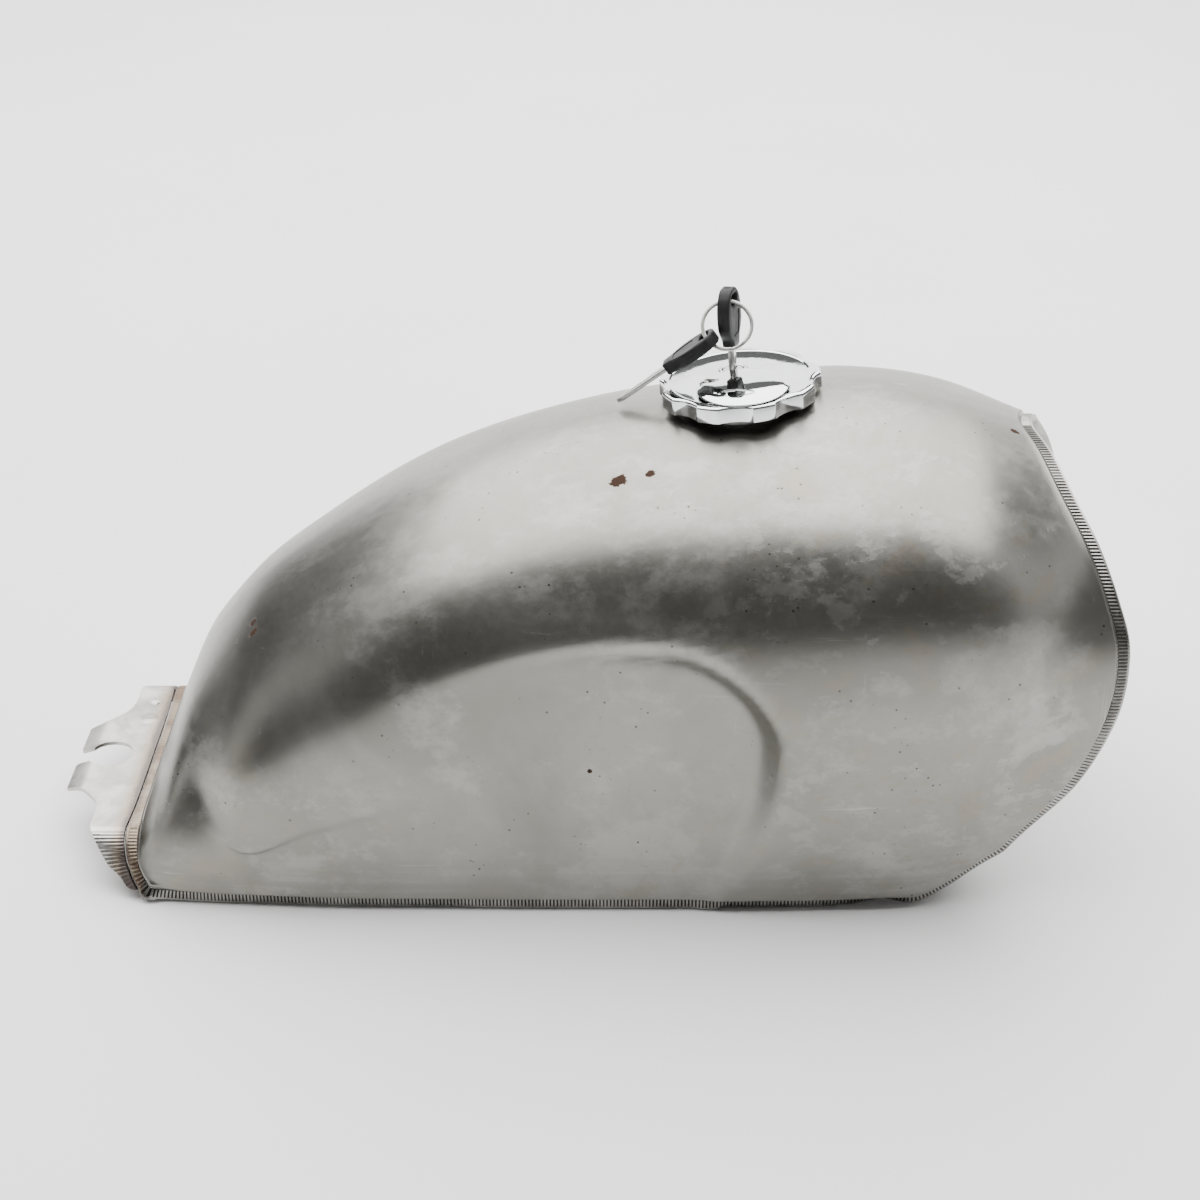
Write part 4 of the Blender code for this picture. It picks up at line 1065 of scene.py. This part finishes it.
def make_key(prefix, place, body):
    half = HEAD_THICK / 2
    head = extruded(f"{prefix}_grip", head_outline(), -half, half, PLASTIC, upright(place))
    hole = rounded([(-5.2, HOLE_AT + 1.6), (-4.2, HOLE_AT - 2.6), (4.2, HOLE_AT - 2.6),
                    (5.2, HOLE_AT + 1.6), (3.6, HOLE_AT + 3), (-3.6, HOLE_AT + 3)], 1.0)
    cut(head, extruded("ring_hole", hole, -9, 9, PLASTIC, upright(place)))
    bevelled(head, 1.0, 3, 50, 40)
    panel = rounded([(-6.4, HEAD_LOW + 13.5), (-4.2, HEAD_LOW + 6.5), (4.2, HEAD_LOW + 6.5),
                     (6.4, HEAD_LOW + 13.5), (6.6, HOLE_AT - 6.4), (-6.6, HOLE_AT - 6.4)], 1.5)
    for low, high in ((half - 0.35, half + 2), (-half - 2, 0.35 - half)):
        cut(head, extruded("panel", panel, low, high, PLASTIC, upright(place)))
    wide, thick = BLADE_HALF + 0.4, BLADE_THICK / 2 + 0.35
    socket = [(-wide, HEAD_LOW - 3), (wide, HEAD_LOW - 3), (wide, HEAD_LOW + 9.5),
              (-wide, HEAD_LOW + 9.5)]
    cut(head, extruded("socket", socket, -thick, thick, PLASTIC, upright(place)))
    seam_cut = [(-HEAD_HALF - 2, HEAD_LOW + 14), (-HEAD_HALF + 0.25, HEAD_LOW + 14),
                (-HEAD_HALF + 0.25, HEAD_HIGH - 9), (-HEAD_HALF - 2, HEAD_HIGH - 9)]
    for turned in (1, -1):
        line = [(x * turned, z) for x, z in seam_cut]
        cut(head, extruded("parting", line, -0.12, 0.12, PLASTIC, upright(place)))
    dimple = bpy.data.meshes.new("dimple")
    ball = bmesh.new()
    bmesh.ops.create_icosphere(ball, subdivisions=3, radius=3.2 * MM,
                               matrix=place @ Matrix.Translation((0, 0, (HEAD_HIGH + 2.6) * MM)))
    ball.to_mesh(dimple)
    ball.free()
    cut(head, new_object("dimple", dimple, PLASTIC))
    tidy(head.data, 40)
    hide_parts(f"{prefix}_head")
    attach(head, body)

    top = HEAD_LOW + 9
    side = [(-BLADE_HALF, top), (BLADE_HALF, top), (BLADE_HALF, 3)]
    for tooth, depth in enumerate(TOOTH_DEPTHS):
        z = 1 - tooth * 3
        side += [(BLADE_HALF - depth, z), (BLADE_HALF - depth, z - 1.1)]
    side += [(0.8, BLADE_LOW), (-0.8, BLADE_LOW), (-BLADE_HALF, BLADE_LOW + 3.5)]
    blade = extruded(f"{prefix}_shank", side, -BLADE_THICK / 2, BLADE_THICK / 2, ZINC,
                     upright(place))
    bevelled(blade, 0.18, 2, 40, 35)
    grooves = [((-1.9, -0.3), 0.5), ((0.4, 1.1), -0.5)]
    for (left, right), face in grooves:
        line = [(left, BLADE_LOW - 1), (right, BLADE_LOW - 1), (right, HEAD_LOW - 2),
                ((left + right) / 2, HEAD_LOW - 1), (left, HEAD_LOW - 2)]
        low, high = (face, 3) if face > 0 else (-3, face)
        cut(blade, extruded("groove", line, low, high, ZINC, upright(place)))
    tidy(blade.data, 35)
    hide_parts(f"{prefix}_blade")
    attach(blade, body)


def ring_matrix():
    """Ring axes: X to the front, Y up the ring, Z out of its face to the right."""
    top = Vector((LOCK_AT[0] + RING_SIDE, LOCK_AT[1], HOLE_AT - 2.6 + RING_WIRE + 0.7))
    lean = math.radians(RING_LEAN)
    up = Vector((0, math.sin(lean), math.cos(lean)))
    face = Vector((0, -math.cos(lean), math.sin(lean)))
    middle = top - up * RING_RADIUS
    columns = Matrix((Vector((1, 0, 0)), up, face)).transposed().to_4x4()
    return cap_frame(*middle) @ columns


def spare_frame():
    """Key axes of the spare, which hangs from the ring and leans down to the tank."""
    angle = math.radians(SPARE_ON_RING)
    on_ring = ring_matrix() @ (Vector((math.cos(angle), math.sin(angle), 0))
                               * RING_RADIUS * MM)
    tip = cap_frame(*SPARE_TIP).translation
    up = (on_ring - tip).normalized()
    side = cap_frame().to_3x3() @ Vector((0, 1, SPARE_TILT))
    thick = side.cross(up).normalized()
    side = up.cross(thick)
    axes = Matrix((side, thick, up)).transposed().to_4x4()
    at = on_ring - up * (HOLE_AT + SPARE_SLIP) * MM
    return Matrix.Translation(at) @ axes


def make_ring():
    """Split ring: flat wire wound nearly twice round, with its step low at the front."""
    points = []
    faces = []
    section = rounded([(-0.9, -0.43), (0.9, -0.43), (0.9, 0.43), (-0.9, 0.43)], 0.4, 3)
    around = len(section)
    angles = np.linspace(0, 682, 300)
    for degrees in angles:
        rise = -0.47 + 0.94 * float(smooth((degrees - 322) / 38))
        angle = math.radians(degrees - 48)
        for across, height in section:
            reach = RING_RADIUS + across
            points.append((reach * math.cos(angle), reach * math.sin(angle), rise + height))
    for step in range(len(angles) - 1):
        for turn in range(around):
            a = step * around + turn
            b = step * around + (turn + 1) % around
            faces.append((a, b, b + around, a + around))
    faces.append(tuple(range(around)))
    faces.append(tuple(range(len(points) - around, len(points))))
    ring = from_faces("split_ring", points, faces, ZINC, ring_matrix(), 50)
    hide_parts("key_ring")
    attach(ring, "ring")


# ---- everything else keeps its CAD shape ----
CARRIED = {"filler_neck": "ZINC", "bolt_keeper": "ZINC", "bayonet_plate": "ZINC",
           "bayonet_screw_1": "ZINC", "bayonet_screw_2": "ZINC", "seal_plate": "ZINC",
           "cap_gasket": "RUBBER", "wave_spring": "ZINC", "lock_bolt": "BRASS",
           "front_mount_cup_left": "PAN", "front_mount_cup_right": "PAN",
           "crossover_spigot_left": "BRASS", "crossover_spigot_right": "BRASS",
           "petcock_boss": "ZINC"}


def dress_carried():
    looks = {"ZINC": ZINC, "RUBBER": RUBBER, "BRASS": BRASS, "PAN": PAN}
    for name, look in CARRIED.items():
        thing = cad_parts[name]
        for slot in thing.material_slots:
            slot.material = looks[look]


make_tank()
make_seam()
make_pan()
make_bracket()
make_cap()
make_lock()
make_cover()
make_rivet()
make_key("key", key_frame(), "key")
make_key("spare_key", spare_frame(), "spare_key")
make_ring()
dress_carried()


# ---- floor, light and camera ----
def panel_light(name, at, to, size, power):
    light = bpy.data.lights.new(name, "AREA")
    light.shape = "RECTANGLE"
    light.size, light.size_y = size
    light.energy = power
    lamp = bpy.data.objects.new(name, light)
    bpy.context.scene.collection.objects.link(lamp)
    lamp.location = at
    lamp.rotation_euler = (Vector(to) - Vector(at)).to_track_quat("-Z", "Y").to_euler()
    return lamp


def make_stage():
    n = Nodes("floor_paint")
    cloud = n.noise(3, 4, 0.5)
    colour = n.mix(n.ramp(cloud, 0.3, 0.7), (0.86, 0.86, 0.86), (0.89, 0.89, 0.89))
    look = n.finish(colour, n.ramp(cloud, 0.3, 0.7, 0.5, 0.6), None, 0.0)
    left, right, near, far = -4.0, 4.0, -3.5, 4.5
    points = [(left, near, 0), (right, near, 0), (right, far, 0), (left, far, 0)]
    mesh = bpy.data.meshes.new("floor")
    mesh.from_pydata(points, [], [(0, 1, 2, 3)])
    new_object("floor", mesh, look)


def make_world():
    world = bpy.data.worlds.new("studio")
    bpy.context.scene.world = world
    world.use_nodes = True
    tree = world.node_tree
    tree.nodes["Background"].inputs["Color"].default_value = (1, 1, 1, 1)
    tree.nodes["Background"].inputs["Strength"].default_value = 0.17


def make_camera():
    camera = bpy.data.cameras.new("camera")
    camera.sensor_width = 36
    camera.lens = 63
    camera.clip_start = 0.01
    eye = bpy.data.objects.new("camera", camera)
    bpy.context.scene.collection.objects.link(eye)
    eye.location = (0.0138, -0.97, 0.64)
    eye.rotation_euler = (math.radians(62), 0, 0)
    bpy.context.scene.camera = eye


make_stage()
make_world()
panel_light("overhead", (0.0, 0.95, 1.75), (0.0, 0.95, 0), (3.2, 3.4), 200)
panel_light("back", (0.0, 3.6, 0.95), (0.0, 0, 0.6), (4.5, 1.7), 68)
panel_light("left_side", (-1.6, -0.5, 0.55), (0, 0, 0.12), (0.7, 0.9), 1.5)
panel_light("right_side", (1.7, -0.3, 0.7), (0.1, 0, 0.15), (0.6, 1.0), 2.0)
make_camera()


def plain(box):
    return [[float(value) for value in corner] for corner in box]
